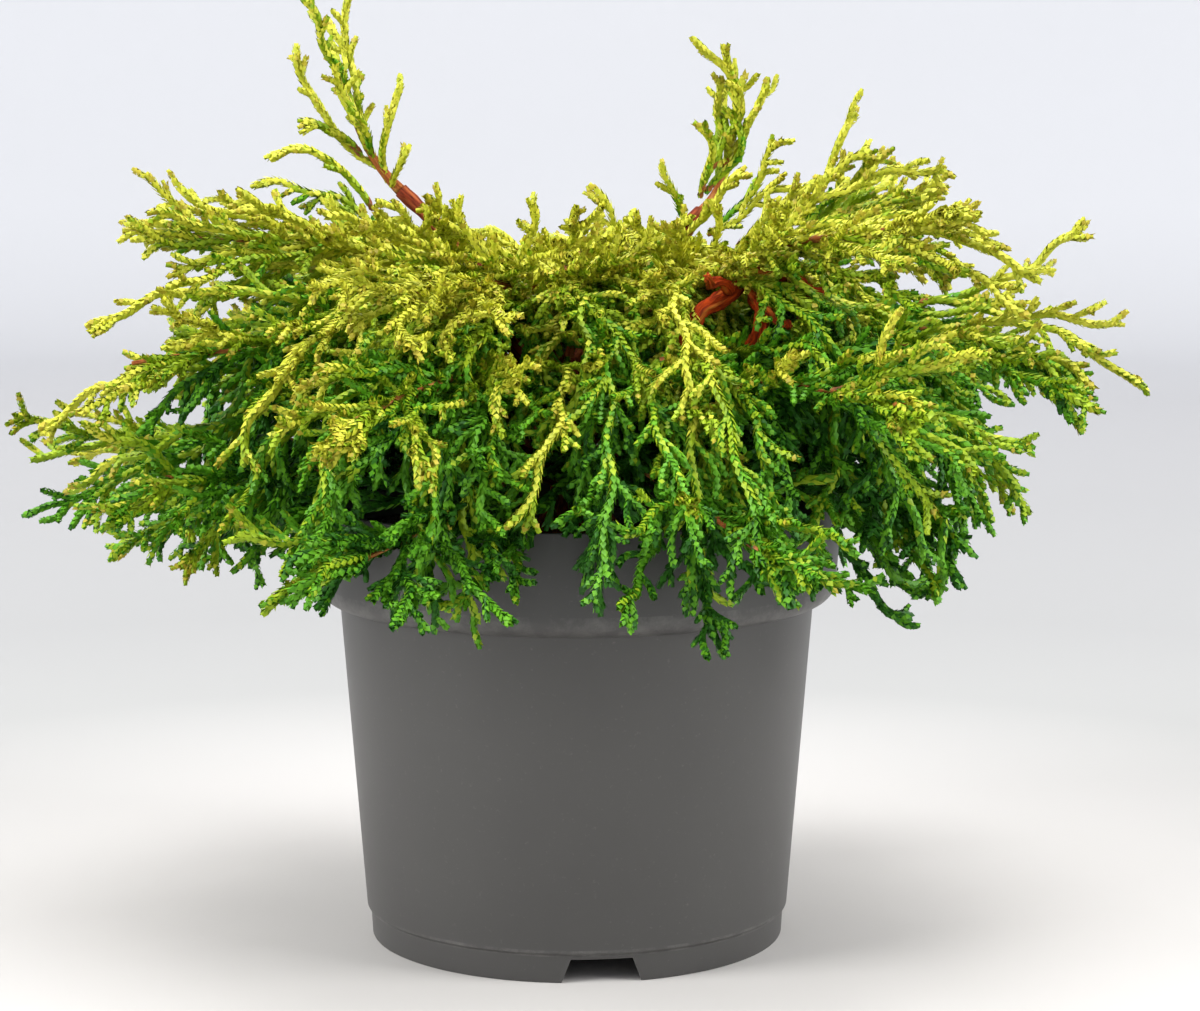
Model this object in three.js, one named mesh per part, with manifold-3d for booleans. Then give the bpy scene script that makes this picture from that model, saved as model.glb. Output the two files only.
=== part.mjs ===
// A dwarf hinoki cypress with cord-like sprays, in its round nursery pot.
// Millimetres, +Z up. The origin is the middle of the pot's underside, and the front is -Y.
//
// The trunk stands on the potting soil. Boughs leave it in whorls, and each bough carries one
// mass of foliage: a stem with flat sprays of cords on it. A mass keeps to the room that lies
// nearer to its own stem than to any other, so no two masses touch.

import * as THREE from "three";
import { mergeVertices } from "three/addons/utils/BufferGeometryUtils.js";
import Module from "manifold-3d";

const wasm = await Module();
wasm.setup();

// ---------------------------------------------------------------- driving dimensions

const GAP = 0.3; // between solids that rest on or grow from each other

const RIM_RADIUS = 120; // a 24 cm pot
const RIM_HEIGHT = 200;
const COLLAR_FOOT_HEIGHT = 154; // where the wide collar starts
const COLLAR_FOOT_RADIUS = 118;
const LIP_HEIGHT = 10; // of the rounded lip under the collar
const LIP_ARC = [20, 55, 90]; // degrees round the lip where its points lie
const BODY_TOP_RADIUS = 107.5;
const SEAM_HEIGHT = 13.5; // the body ends on a foot ring here
const SEAM_RADIUS = 96.4;
const FOOT_RADIUS = 94;
const SEAM_STEP = 1.6; // how far the foot ring stands in from the body
const EDGE_EASE = 0.8; // small edges are eased by this much
const WALL = 2.2;
const FLOOR_HEIGHT = 12.5; // underside of the pot's raised floor
const POT_SIDES = 32;

const NOTCH_COUNT = 3;
const NOTCH_AZIMUTH = -83; // degrees from +X: just right of the front
const NOTCH_HEIGHT = 10.8;
const NOTCH_FOOT_WIDTH = 43;
const NOTCH_TOP_WIDTH = 27;
const DRAIN_RADIUS = 7;
const DRAIN_CIRCLE = 70;
const DRAIN_SIDES = 8;

const SOIL_HEIGHT = 186;
const SOIL_EDGE_HEIGHT = 182;
const SOIL_FLAT_RADIUS = 30;

const TRUNK_HEIGHT = 76; // above the soil, to its fork
const TRUNK_RADIUS = 11.5;
const TRUNK_TIP_RADIUS = 8.5;
const TRUNK_LEAN = 7; // how far the fork stands to the left of the foot
const TRUNK_BEND = 1.5; // how far it sways on the way, in three quarters of a wave
const TRUNK_CUT = 5; // its foot is cut off here, at soil level
const TRUNK_FLARE = [2.1, 1.5, 1.15, 1.03, 1]; // root flare, as shares of the trunk's own radius
const TRUNK_STEPS = 9;
const TRUNK_SIDES = 10;

const BOUGH_RADIUS = 3.3;
const BOUGH_TIP_RADIUS = 2.7;
const BOUGH_SIDES = 4;
const BOUGH_STEPS = 3;

// How far each mass may stray from the places in the tables.
const STRAY = { leaves: 1.5, azimuth: 4, tipRadius: 6, tipHeight: 5, reachRadius: 10, reachHeight: 9 };

const STEM_RADIUS = 2.7;
const STEM_TIP_RADIUS = 1.7;
const STEM_STEPS = 4;
const STEM_SIDES = 4;
const STEM_KNEE = 0.45; // the share of a stem that still follows its bough
const BLUNT_TIP = 0.8; // how far a stem's end bulges, as a share of its radius
const CREST_STEP = 4.6; // how far from the trunk's middle a crest stem stands

const CORD_WIDTH = 8.5; // each cord of a spray stands for two or three real ones
const CORD_THICKNESS = 3.6;
const CORD_FOOT_WIDTH = 2.6; // where a spray is sunk in its stem
const CORD_CLUB = 1.1; // a tip's width, as a share of the cord's
const SPRAY_OPENING = 40; // degrees between a side cord and the middle one
const LENGTH_PER_CORD = 16; // a short spray has fewer side cords
// A spray that doesn't fit is turned further round its stem, and then made shorter.
const SPRAY_TURNS = [0, 120, 240];
const SPRAY_SIZES = [1, 0.75, 0.55, 0.4];
const SHORTEST_CORD = 14;
const CORD_SIZES = [1, 0.75, 0.55]; // a side cord that doesn't fit is made shorter
const CORD_PLACES = [0.2, 0.37, 0.54, 0.71]; // where side cords leave, as shares of the spray
const CORD_LENGTHS = [0.72, 0.34]; // from the first to past the last, as shares of the spray
const CORD_SPACING = 0.8; // least distance between sprays, as a share of a cord's width
const FREE_FOOT = 0.2; // share of a spray that may lie against others at its foot
const FIRST_SPRAY = 9; // how far from the stem's foot its first spray leaves
const FIRST_CREST_SPRAY = 20;
const LAST_SPRAY_SHARE = 0.97; // of its stem's length
const SPRAY_TURN_STRAY = 20; // degrees
const SPRAY_ANGLES = [64, 16]; // degrees from the stem, at its foot and at its tip
const SPRAY_ANGLE_STRAY = 9;
const SPRAY_ROLL = 55; // degrees that a spray may lie over to either side
const SPRAY_TAPER = [1.05, 0.75]; // lengths at the stem's foot and tip, as shares
const SPRAY_LENGTH_STRAY = 0.15;
const SAG_STRAY = 0.5;
const SPRAY_FLATNESS = 0.75; // how far sprays open upwards and down, as a share of sideways
const TEST_STEP = 4; // distance between the points where a cord's room is tested
const SIMPLIFY_WITHIN = 0.2; // slivers narrower than this are smoothed away

// No tip leaves this oval, seen from above.
const CROWN_HALF_WIDTH = 262;
const CROWN_HALF_DEPTH = 230;

const GOLDEN_ANGLE = 137.50776;
const SEED = 41;

// Whorls of boughs from the lowest up. leaves is the height above the soil where the boughs
// leave the trunk. Each mass runs from its bough's tip to its reach.
const WHORLS = [
  {
    name: "skirt",
    count: 9,
    azimuth: 10,
    leaves: 17,
    tip: { radius: 70, height: 224 },
    reach: { radius: 226, height: 190 },
    lift: 14,
    sprays: 7,
    sprayLength: 88,
    sag: 0.7,
  },
  {
    name: "shoulder",
    count: 8,
    azimuth: 28,
    leaves: 33,
    tip: { radius: 58, height: 258 },
    reach: { radius: 220, height: 254 },
    lift: 12,
    sprays: 7,
    sprayLength: 86,
    sag: 0.6,
  },
  {
    name: "brow",
    count: 6,
    azimuth: 16,
    leaves: 47,
    tip: { radius: 40, height: 280 },
    reach: { radius: 170, height: 318 },
    lift: 6,
    sprays: 7,
    sprayLength: 82,
    sag: 0.35,
  },
  {
    name: "crest", // with no boughs: its stems stand in the trunk's top
    count: 3,
    azimuth: 106,
    leaves: TRUNK_HEIGHT - 4,
    reach: { radius: 60, height: 294 },
    sprays: 6,
    sprayLength: 60,
    sag: 0.45,
  },
];

// The crown isn't even: these masses reach further or less far than the rest of their whorl, or
// end higher or lower.
const UNEVEN = {
  skirt_1: { reach: { radius: 144, height: 218 }, sprayLength: 60 },
  skirt_5: { reach: { radius: 202, height: 232 }, sag: 0.25 },
  skirt_6: { reach: { radius: 186, height: 224 }, sag: 0.25 },
  skirt_9: { reach: { radius: 160, height: 206 }, sprayLength: 76 },
  shoulder_1: { reach: { radius: 230, height: 252 } },
  shoulder_4: { reach: { radius: 180, height: 266 } },
  brow_1: { reach: { radius: 146, height: 338 }, sag: 0.1 },
  brow_2: { reach: { radius: 156, height: 296 } },
  brow_3: { reach: { radius: 160, height: 292 } },
  brow_4: { reach: { radius: 154, height: 322 }, sag: 0.2 },
  brow_5: { reach: { radius: 160, height: 298 } },
};

// The two tall shoots, each on a bough from the trunk's fork. Their sprays stand closer to the
// stem: narrow is the share of the other masses' spray angles.
const LEADERS = [
  {
    name: "leader_left",
    azimuth: 165,
    leaves: 62,
    tip: { radius: 84, height: 338 },
    reach: { radius: 90, height: 395 },
    lift: 12,
    sprays: 5,
    sprayLength: 56,
    sag: 0.05,
    narrow: 0.6,
  },
  {
    name: "leader_right",
    azimuth: 46,
    leaves: 62,
    tip: { radius: 76, height: 330 },
    reach: { radius: 78, height: 364 },
    lift: 12,
    sprays: 5,
    sprayLength: 54,
    sag: 0.05,
    narrow: 0.6,
  },
];

// ---------------------------------------------------------------- small tools

const UP = new THREE.Vector3(0, 0, 1);
const NEARLY_UPRIGHT = 0.05; // a limb that leans less than this sine has no level side of its own
const radians = THREE.MathUtils.degToRad;
const lerp = THREE.MathUtils.lerp;

// Numbers from 0 to 1 that are the same on every run.
function seededNumbers(seed) {
  let state = seed;
  return () => {
    state = (Math.imul(state, 1664525) + 1013904223) >>> 0;
    return state / 2 ** 32;
  };
}

function solidOf(geometry) {
  const bare = geometry.clone().deleteAttribute("normal").deleteAttribute("uv");
  const merged = mergeVertices(bare, 1e-4);
  return new wasm.Manifold(
    new wasm.Mesh({
      numProp: 3,
      vertProperties: new Float32Array(merged.attributes.position.array),
      triVerts: new Uint32Array(merged.index.array),
    }),
  );
}

function geometryOf(solid) {
  const mesh = solid.getMesh();
  const geometry = new THREE.BufferGeometry()
    .setAttribute("position", new THREE.BufferAttribute(mesh.vertProperties, 3))
    .setIndex(new THREE.BufferAttribute(mesh.triVerts, 1));
  geometry.computeVertexNormals();
  return geometry;
}

function polar(radius, azimuth, height) {
  const turn = radians(azimuth);
  return new THREE.Vector3(radius * Math.cos(turn), radius * Math.sin(turn), height);
}

// A closed limb: a cylinder whose rings are carried along the curve. radiusAt gives the radius of
// a ring in a direction from its middle.
function limb(curve, steps, sides, radiusAt, bluntness = 0) {
  const cylinder = new THREE.CylinderGeometry(1, 1, 1, sides, steps);
  const points = samples(curve, steps);
  const tangents = points.map((_, k) => curve.getTangent(k / steps));
  const normals = [];
  let normal = new THREE.Vector3().crossVectors(tangents[0], UP);
  if (normal.length() < NEARLY_UPRIGHT) normal.set(1, 0, 0);
  for (const tangent of tangents) {
    normal = normal.clone().addScaledVector(tangent, -normal.dot(tangent)).normalize();
    normals.push(normal);
  }
  const place = cylinder.attributes.position;
  for (let i = 0; i < place.count; i++) {
    const ring = Math.round((place.getY(i) + 0.5) * steps);
    const across = new THREE.Vector3().crossVectors(normals[ring], tangents[ring]);
    const outward = normals[ring]
      .clone()
      .multiplyScalar(place.getX(i))
      .addScaledVector(across, place.getZ(i));
    const atCentre = outward.length() < 0.5; // a cap's middle point, as ring points lie at 1
    const radius = radiusAt(ring, atCentre ? normals[ring] : outward);
    const point = points[ring].clone();
    if (!atCentre) point.addScaledVector(outward, radius);
    else if (ring === steps) point.addScaledVector(tangents[ring], radius * bluntness);
    place.setXYZ(i, point.x, point.y, point.z);
  }
  return cylinder;
}

function tapered(from, to, steps) {
  return (ring) => lerp(from, to, ring / steps);
}

function samples(curve, steps) {
  return Array.from({ length: steps + 1 }, (_, k) => curve.getPoint(k / steps));
}

function distanceToLine(point, points) {
  const nearest = new THREE.Vector3();
  let least = Infinity;
  for (let k = 1; k < points.length; k++) {
    new THREE.Line3(points[k - 1], points[k]).closestPointToPoint(point, true, nearest);
    least = Math.min(least, nearest.distanceTo(point));
  }
  return least;
}

// ---------------------------------------------------------------- pot and soil

function turned(profile) {
  const points = profile.map(([radius, height]) => new THREE.Vector2(radius, height));
  return new THREE.LatheGeometry(points, POT_SIDES).rotateX(Math.PI / 2);
}

// The pot's outer radius on its body, below the collar.
function bodyRadius(height) {
  const share = (height - SEAM_HEIGHT) / (COLLAR_FOOT_HEIGHT - SEAM_HEIGHT);
  return lerp(SEAM_RADIUS, BODY_TOP_RADIUS, share);
}

function makePot() {
  const lipTop = COLLAR_FOOT_HEIGHT + LIP_HEIGHT;
  const step = COLLAR_FOOT_RADIUS - BODY_TOP_RADIUS;
  const lip = LIP_ARC.map((degrees) => [
    BODY_TOP_RADIUS + step * Math.sin(radians(degrees)),
    lipTop - LIP_HEIGHT * Math.cos(radians(degrees)),
  ]);
  const floorTop = FLOOR_HEIGHT + WALL;
  let pot = solidOf(
    turned([
      [0, FLOOR_HEIGHT],
      [FOOT_RADIUS - WALL, FLOOR_HEIGHT],
      [FOOT_RADIUS - WALL, 0],
      [FOOT_RADIUS, 0],
      [SEAM_RADIUS - SEAM_STEP, SEAM_HEIGHT - EDGE_EASE],
      [SEAM_RADIUS, SEAM_HEIGHT],
      [BODY_TOP_RADIUS, COLLAR_FOOT_HEIGHT],
      ...lip,
      [RIM_RADIUS, RIM_HEIGHT - EDGE_EASE],
      [RIM_RADIUS - EDGE_EASE, RIM_HEIGHT],
      [RIM_RADIUS - WALL, RIM_HEIGHT],
      [COLLAR_FOOT_RADIUS - WALL, lipTop + EDGE_EASE],
      [BODY_TOP_RADIUS - WALL, COLLAR_FOOT_HEIGHT + EDGE_EASE],
      [bodyRadius(floorTop) - WALL, floorTop],
      [0, floorTop],
    ]),
  );

  const notch = new THREE.Shape([
    new THREE.Vector2(-NOTCH_FOOT_WIDTH / 2, -WALL),
    new THREE.Vector2(NOTCH_FOOT_WIDTH / 2, -WALL),
    new THREE.Vector2(NOTCH_TOP_WIDTH / 2, NOTCH_HEIGHT),
    new THREE.Vector2(-NOTCH_TOP_WIDTH / 2, NOTCH_HEIGHT),
  ]);
  for (let k = 0; k < NOTCH_COUNT; k++) {
    const azimuth = NOTCH_AZIMUTH + (360 / NOTCH_COUNT) * k;
    const cutter = new THREE.ExtrudeGeometry(notch, { depth: FOOT_RADIUS, bevelEnabled: false })
      .rotateX(Math.PI / 2)
      .translate(0, -DRAIN_CIRCLE, 0)
      .rotateZ(radians(azimuth + 90));
    const drainAt = polar(DRAIN_CIRCLE, azimuth + 180 / NOTCH_COUNT, FLOOR_HEIGHT);
    const drain = new THREE.CylinderGeometry(DRAIN_RADIUS, DRAIN_RADIUS, 4 * WALL, DRAIN_SIDES)
      .rotateX(Math.PI / 2)
      .translate(drainAt.x, drainAt.y, drainAt.z);
    pot = pot.subtract(solidOf(cutter)).subtract(solidOf(drain));
  }
  return geometryOf(pot);
}

function makeSoil() {
  const floorTop = FLOOR_HEIGHT + WALL + GAP;
  const clear = WALL + GAP;
  return turned([
    [0, floorTop],
    [bodyRadius(floorTop) - clear - GAP, floorTop],
    [BODY_TOP_RADIUS - clear, COLLAR_FOOT_HEIGHT + WALL],
    [COLLAR_FOOT_RADIUS - clear, COLLAR_FOOT_HEIGHT + LIP_HEIGHT + 2 * WALL],
    [COLLAR_FOOT_RADIUS - clear, SOIL_EDGE_HEIGHT],
    [SOIL_FLAT_RADIUS, SOIL_HEIGHT],
    [0, SOIL_HEIGHT],
  ]);
}

// ---------------------------------------------------------------- trunk and boughs

// The trunk's middle line, at a height above the soil.
function trunkPoint(height) {
  const share = height / TRUNK_HEIGHT;
  const bend = Math.sin(share * radians(270));
  return new THREE.Vector3(
    -TRUNK_LEAN * share + TRUNK_BEND * bend,
    TRUNK_BEND * (2 * share * share - bend),
    SOIL_HEIGHT + GAP + height,
  );
}

// The trunk, made larger all round by extra. It starts below the soil and is cut flat on it.
function makeTrunk(extra = 0) {
  const heights = Array.from({ length: TRUNK_STEPS + 1 }, (_, k) =>
    lerp(-TRUNK_CUT, TRUNK_HEIGHT + extra, k / TRUNK_STEPS),
  );
  const radiusAt = (ring) => {
    const flare = TRUNK_FLARE[Math.min(ring, TRUNK_FLARE.length - 1)];
    return lerp(TRUNK_RADIUS, TRUNK_TIP_RADIUS, heights[ring] / TRUNK_HEIGHT) * flare + extra;
  };
  const line = new THREE.CatmullRomCurve3(heights.map(trunkPoint));
  const trunk = solidOf(limb(line, TRUNK_STEPS, TRUNK_SIDES, radiusAt));
  return trunk.trimByPlane([0, 0, 1], SOIL_HEIGHT + GAP);
}

// Every mass with its place in its whorl, its bough's curve and its stem's curve.
function planMasses() {
  const plans = [];
  for (const whorl of WHORLS) {
    for (let k = 0; k < whorl.count; k++) {
      const name = whorl.name + "_" + (k + 1);
      const azimuth = whorl.azimuth + (360 / whorl.count) * k;
      plans.push({ narrow: 1, ...whorl, ...UNEVEN[name], name, azimuth });
    }
  }
  plans.push(...LEADERS);
  return plans.map((plan, index) => {
    const random = seededNumbers(SEED * (index + 1));
    const stray = (size) => size * (2 * random() - 1);
    const from = trunkPoint(plan.leaves + stray(STRAY.leaves));
    const azimuth = plan.azimuth + stray(STRAY.azimuth);
    const reach = polar(
      plan.reach.radius + stray(STRAY.reachRadius),
      azimuth + stray(STRAY.azimuth),
      plan.reach.height + stray(STRAY.reachHeight),
    );
    reach.x *= CROWN_HALF_WIDTH / CROWN_HALF_DEPTH;
    let bough = null;
    let along = UP;
    let foot = from.clone().add(polar(CREST_STEP, azimuth, 0));
    if (plan.tip) {
      const tip = polar(
        plan.tip.radius + stray(STRAY.tipRadius),
        azimuth,
        plan.tip.height + stray(STRAY.tipHeight),
      );
      const bend = from.clone().lerp(tip, 0.5).addScaledVector(UP, plan.lift);
      bough = new THREE.QuadraticBezierCurve3(from, bend, tip);
      along = bough.getTangent(1);
      foot = tip.clone().addScaledVector(along, GAP);
    }
    const knee = foot.clone().addScaledVector(along, STEM_KNEE * foot.distanceTo(reach));
    const stem = new THREE.QuadraticBezierCurve3(foot, knee, reach);
    return { ...plan, stray, bough, stem, stemLine: samples(stem, STEM_STEPS) };
  });
}

function makeBough(plan, trunkRoom) {
  const radiusAt = tapered(BOUGH_RADIUS, BOUGH_TIP_RADIUS, BOUGH_STEPS);
  const bough = solidOf(limb(plan.bough, BOUGH_STEPS, BOUGH_SIDES, radiusAt));
  return geometryOf(bough.subtract(trunkRoom));
}

// ---------------------------------------------------------------- foliage

// Half of how much nearer the point is to its own stem than to any other, which is the least
// distance to the room's border.
function roomAround(point, plan, plans) {
  const own = distanceToLine(point, plan.stemLine);
  let other = Infinity;
  for (const next of plans) {
    if (next !== plan) other = Math.min(other, distanceToLine(point, next.stemLine));
  }
  return (other - own) / 2;
}

function clearOfPot(point, radius) {
  const fromAxis = Math.hypot(point.x, point.y);
  const overRim = point.z - RIM_HEIGHT - radius;
  return overRim > GAP || fromAxis - RIM_RADIUS - radius > GAP;
}

function inCrown(point, radius) {
  const x = point.x / (CROWN_HALF_WIDTH - radius);
  const y = point.y / (CROWN_HALF_DEPTH - radius);
  return x * x + y * y < 1;
}

// Whether a line of cord stays in its mass's room, clear of the pot and the limbs, and clear of
// the mass's other sprays past a share of its length.
function fits(points, surroundings, others, freeShare) {
  const { plan, plans, limbs } = surroundings;
  const radius = Math.hypot(CORD_WIDTH * CORD_CLUB, CORD_THICKNESS) / 2;
  const reach = Math.hypot(radius, TEST_STEP / 2) + GAP;
  return points.every(
    (point, k) =>
      inCrown(point, radius) &&
      clearOfPot(point, radius) &&
      roomAround(point, plan, plans) > reach &&
      limbs.every((line) => distanceToLine(point, line.points) > line.radius + reach) &&
      (k < freeShare * points.length ||
        others.every((line) => distanceToLine(point, line) > CORD_SPACING * CORD_WIDTH)),
  );
}

// A spray is a flat sheet of cords, bent down by its sag. place() carries a point of the flat
// sheet, along it, across it and through it, to where it lies.
function sprayFrame(from, along, roll, length, sag) {
  const knee = from.clone().addScaledVector(along, length / 2);
  const onward = along.clone().addScaledVector(UP, -sag).normalize();
  const tip = knee.clone().addScaledVector(onward, length / 2);
  const curve = new THREE.QuadraticBezierCurve3(from, knee, tip);
  const side = new THREE.Vector3().crossVectors(along, UP).normalize();
  const over = new THREE.Vector3().crossVectors(side, along);
  const flat = side.multiplyScalar(Math.cos(roll)).addScaledVector(over, Math.sin(roll));
  const place = (u, v, w) => {
    const share = THREE.MathUtils.clamp(u / length, 0, 1);
    const tangent = curve.getTangent(share);
    const across = flat.clone().addScaledVector(tangent, -flat.dot(tangent)).normalize();
    const through = new THREE.Vector3().crossVectors(tangent, across);
    return curve.getPoint(share).addScaledVector(across, v).addScaledVector(through, w);
  };
  return { length, place };
}

function lineOnSpray(frame, from, to) {
  const steps = Math.ceil(Math.hypot(to[0] - from[0], to[1] - from[1]) / TEST_STEP);
  return Array.from({ length: steps + 1 }, (_, k) =>
    frame.place(lerp(from[0], to[0], k / steps), lerp(from[1], to[1], k / steps), 0),
  );
}

// The side cords that fit on a spray, alternately left and right.
function sideCords(frame, surroundings, others) {
  const opening = radians(SPRAY_OPENING);
  const count = Math.min(CORD_PLACES.length, Math.floor(frame.length / LENGTH_PER_CORD));
  const cords = [];
  for (let k = 0; k < count; k++) {
    const at = frame.length * CORD_PLACES[k];
    const side = k % 2 === 0 ? 1 : -1;
    const full = frame.length * lerp(...CORD_LENGTHS, k / CORD_PLACES.length);
    const tipAt = (size) => [at + size * Math.cos(opening), side * size * Math.sin(opening)];
    for (const size of CORD_SIZES.map((share) => share * full)) {
      if (size < SHORTEST_CORD || tipAt(size)[0] > frame.length) continue;
      const line = lineOnSpray(frame, [at, 0], tipAt(size));
      if (fits(line, surroundings, others, 0)) {
        cords.push({ at, side, tip: tipAt(size), line });
        break;
      }
    }
  }
  return cords;
}

// The outline of one side of a spray, from its foot to its tip.
function sprayEdge(cords, side) {
  const opening = radians(SPRAY_OPENING);
  const half = CORD_WIDTH / 2;
  const points = [];
  for (const cord of cords.filter((each) => each.side === side)) {
    const [u, v] = cord.tip;
    const middle = cord.at + half / Math.tan(opening);
    const club = half * CORD_CLUB;
    points.push([middle - half / Math.sin(opening), side * half]);
    points.push([u - club * Math.sin(opening), v + side * club * Math.cos(opening)]);
    points.push([u + club * Math.sin(opening), v - side * club * Math.cos(opening)]);
    points.push([middle + half / Math.sin(opening), side * half]);
  }
  return points;
}

function makeSpray(spray) {
  const { frame, cords } = spray;
  const foot = CORD_FOOT_WIDTH / 2;
  const club = (CORD_WIDTH / 2) * CORD_CLUB;
  const outline = [
    [0, -foot],
    ...sprayEdge(cords, -1),
    [frame.length, -club],
    [frame.length, club],
    ...sprayEdge(cords, 1).reverse(),
    [0, foot],
  ];
  const shape = new THREE.Shape(outline.map(([u, v]) => new THREE.Vector2(u, v)));
  const sheet = new THREE.ExtrudeGeometry(shape, { depth: CORD_THICKNESS, bevelEnabled: false });
  const place = sheet.attributes.position;
  for (let i = 0; i < place.count; i++) {
    const through = place.getZ(i) - CORD_THICKNESS / 2;
    const point = frame.place(place.getX(i), place.getY(i), through);
    place.setXYZ(i, point.x, point.y, point.z);
  }
  return solidOf(sheet);
}

// A direction that opens from the stem's by an angle, turned round it from the level side.
function openedFrom(stemAlong, open, turn) {
  const side = new THREE.Vector3().crossVectors(stemAlong, UP).normalize();
  const over = new THREE.Vector3().crossVectors(side, stemAlong);
  const across = side
    .multiplyScalar(Math.cos(turn))
    .addScaledVector(over, SPRAY_FLATNESS * Math.sin(turn));
  return stemAlong
    .clone()
    .multiplyScalar(Math.cos(open))
    .addScaledVector(across.normalize(), Math.sin(open));
}

// The sprays of a mass, set round its stem by the golden angle. A spray that doesn't fit is turned
// and shortened, and left out if it still doesn't.
function growSprays(plan, plans, limbs) {
  const { stray, stem } = plan;
  const surroundings = { plan, plans, limbs };
  const tries = SPRAY_SIZES.flatMap((size) => SPRAY_TURNS.map((turn) => [size, turn]));
  const sprays = [];
  const lines = [];
  const firstShare = (plan.bough ? FIRST_SPRAY : FIRST_CREST_SPRAY) / stem.getLength();
  for (let k = 0; k < plan.sprays; k++) {
    const share = lerp(firstShare, LAST_SPRAY_SHARE, k / (plan.sprays - 1));
    const turn = GOLDEN_ANGLE * k + stray(SPRAY_TURN_STRAY);
    const angle = plan.narrow * lerp(...SPRAY_ANGLES, share);
    const open = radians(angle + stray(SPRAY_ANGLE_STRAY));
    const roll = radians(stray(SPRAY_ROLL));
    const sag = plan.sag * (1 + stray(SAG_STRAY));
    const full = plan.sprayLength * lerp(...SPRAY_TAPER, share) * (1 + stray(SPRAY_LENGTH_STRAY));
    for (const [size, turned] of tries) {
      const length = full * size;
      const along = openedFrom(stem.getTangent(share), open, radians(turn + turned));
      const frame = sprayFrame(stem.getPoint(share), along, roll, length, sag);
      const line = lineOnSpray(frame, [0, 0], [length, 0]);
      if (!fits(line, surroundings, lines, FREE_FOOT)) continue;
      const cords = sideCords(frame, surroundings, lines);
      lines.push(line, ...cords.map((cord) => cord.line));
      sprays.push({ frame, cords });
      break;
    }
  }
  return sprays;
}

function makeMass(plan, plans, limbs, trunkRoom) {
  const radiusAt = tapered(STEM_RADIUS, STEM_TIP_RADIUS, STEM_STEPS);
  const stem = solidOf(limb(plan.stem, STEM_STEPS, STEM_SIDES, radiusAt, BLUNT_TIP));
  const sprays = growSprays(plan, plans, limbs).map(makeSpray);
  const mass = wasm.Manifold.union([stem, ...sprays]).simplify(SIMPLIFY_WITHIN);
  return geometryOf(mass.subtract(trunkRoom));
}

// ---------------------------------------------------------------- the whole plant

const materials = {
  pot: new THREE.MeshStandardMaterial({ color: 0x6c6b6b, roughness: 0.55 }),
  soil: new THREE.MeshStandardMaterial({ color: 0x2a211b, roughness: 0.95 }),
  bark: new THREE.MeshStandardMaterial({ color: 0x8a4426, roughness: 0.85 }),
  foliage: new THREE.MeshStandardMaterial({ color: 0x86a52e, roughness: 0.6 }),
};

function named(name, geometry, material) {
  const mesh = new THREE.Mesh(geometry, material);
  mesh.name = name;
  return mesh;
}

const plant = new THREE.Group();
plant.add(named("pot", makePot(), materials.pot));
plant.add(named("potting_soil", makeSoil(), materials.soil));
plant.add(named("trunk", geometryOf(makeTrunk()), materials.bark));

const plans = planMasses();
const boughed = plans.filter((plan) => plan.bough);
const limbs = [
  { points: [trunkPoint(0), trunkPoint(TRUNK_HEIGHT)], radius: TRUNK_RADIUS + TRUNK_BEND },
  ...boughed.map(({ bough }) => ({ points: samples(bough, BOUGH_STEPS), radius: BOUGH_RADIUS })),
];
const trunkRoom = makeTrunk(GAP);
for (const plan of boughed) {
  plant.add(named("bough_" + plan.name, makeBough(plan, trunkRoom), materials.bark));
}
for (const plan of plans) {
  const mass = makeMass(plan, plans, limbs, trunkRoom);
  plant.add(named("foliage_" + plan.name, mass, materials.foliage));
}

export default plant;
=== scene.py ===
# %% [markdown]
# # A dwarf hinoki cypress in its nursery pot
#
# The plant is a low mop of green and gold cords. Each cord is a twig clad in small scale leaves that
# overlap like roof tiles, so no wood shows on it. The cords branch in flat sprays, the sprays grow on
# stems, and the stems grow on from the boughs of the solid model.
#
# The solid model says where every bough goes. This script writes its growing rule again, so that the
# fine cords spring from the same stems and fill the same room.

# %% Load the solid model, and keep its size
import math

import bmesh
import bpy
import numpy as np
from mathutils import Matrix, Vector, noise


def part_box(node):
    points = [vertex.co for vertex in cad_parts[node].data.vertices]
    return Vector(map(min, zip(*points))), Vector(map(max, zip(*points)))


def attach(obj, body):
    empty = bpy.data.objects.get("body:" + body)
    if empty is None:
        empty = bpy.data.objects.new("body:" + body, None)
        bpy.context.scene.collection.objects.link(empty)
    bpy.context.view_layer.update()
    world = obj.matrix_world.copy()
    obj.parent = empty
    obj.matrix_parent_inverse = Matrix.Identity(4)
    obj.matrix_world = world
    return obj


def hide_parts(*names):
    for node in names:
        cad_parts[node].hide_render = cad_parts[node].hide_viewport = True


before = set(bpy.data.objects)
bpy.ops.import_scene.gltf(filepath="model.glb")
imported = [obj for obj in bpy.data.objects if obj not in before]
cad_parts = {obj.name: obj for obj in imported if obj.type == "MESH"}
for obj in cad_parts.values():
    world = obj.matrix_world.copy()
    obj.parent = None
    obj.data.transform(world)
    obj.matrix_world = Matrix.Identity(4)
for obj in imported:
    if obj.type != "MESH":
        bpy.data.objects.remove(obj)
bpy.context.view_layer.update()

# %% [markdown]
# ## Small tools
#
# Blender works in metres and linear colour. Sizes here are written in millimetres and colours as the
# hex values that a paint chart would give, so a factor and a short function turn them into what
# Blender wants. Other functions add shader nodes with their settings and links, which keeps each
# material short, and put objects in the scene.

# %% Units, colours and shader nodes
MM = 0.001


def paint(hex_value):
    """A colour written as 0xRRGGBB, in the linear light that shaders use."""
    channels = [(hex_value >> shift & 255) / 255 for shift in (16, 8, 0)]
    return tuple(c / 12.92 if c < 0.04045 else ((c + 0.055) / 1.055) ** 2.4 for c in channels) + (1.0,)


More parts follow.
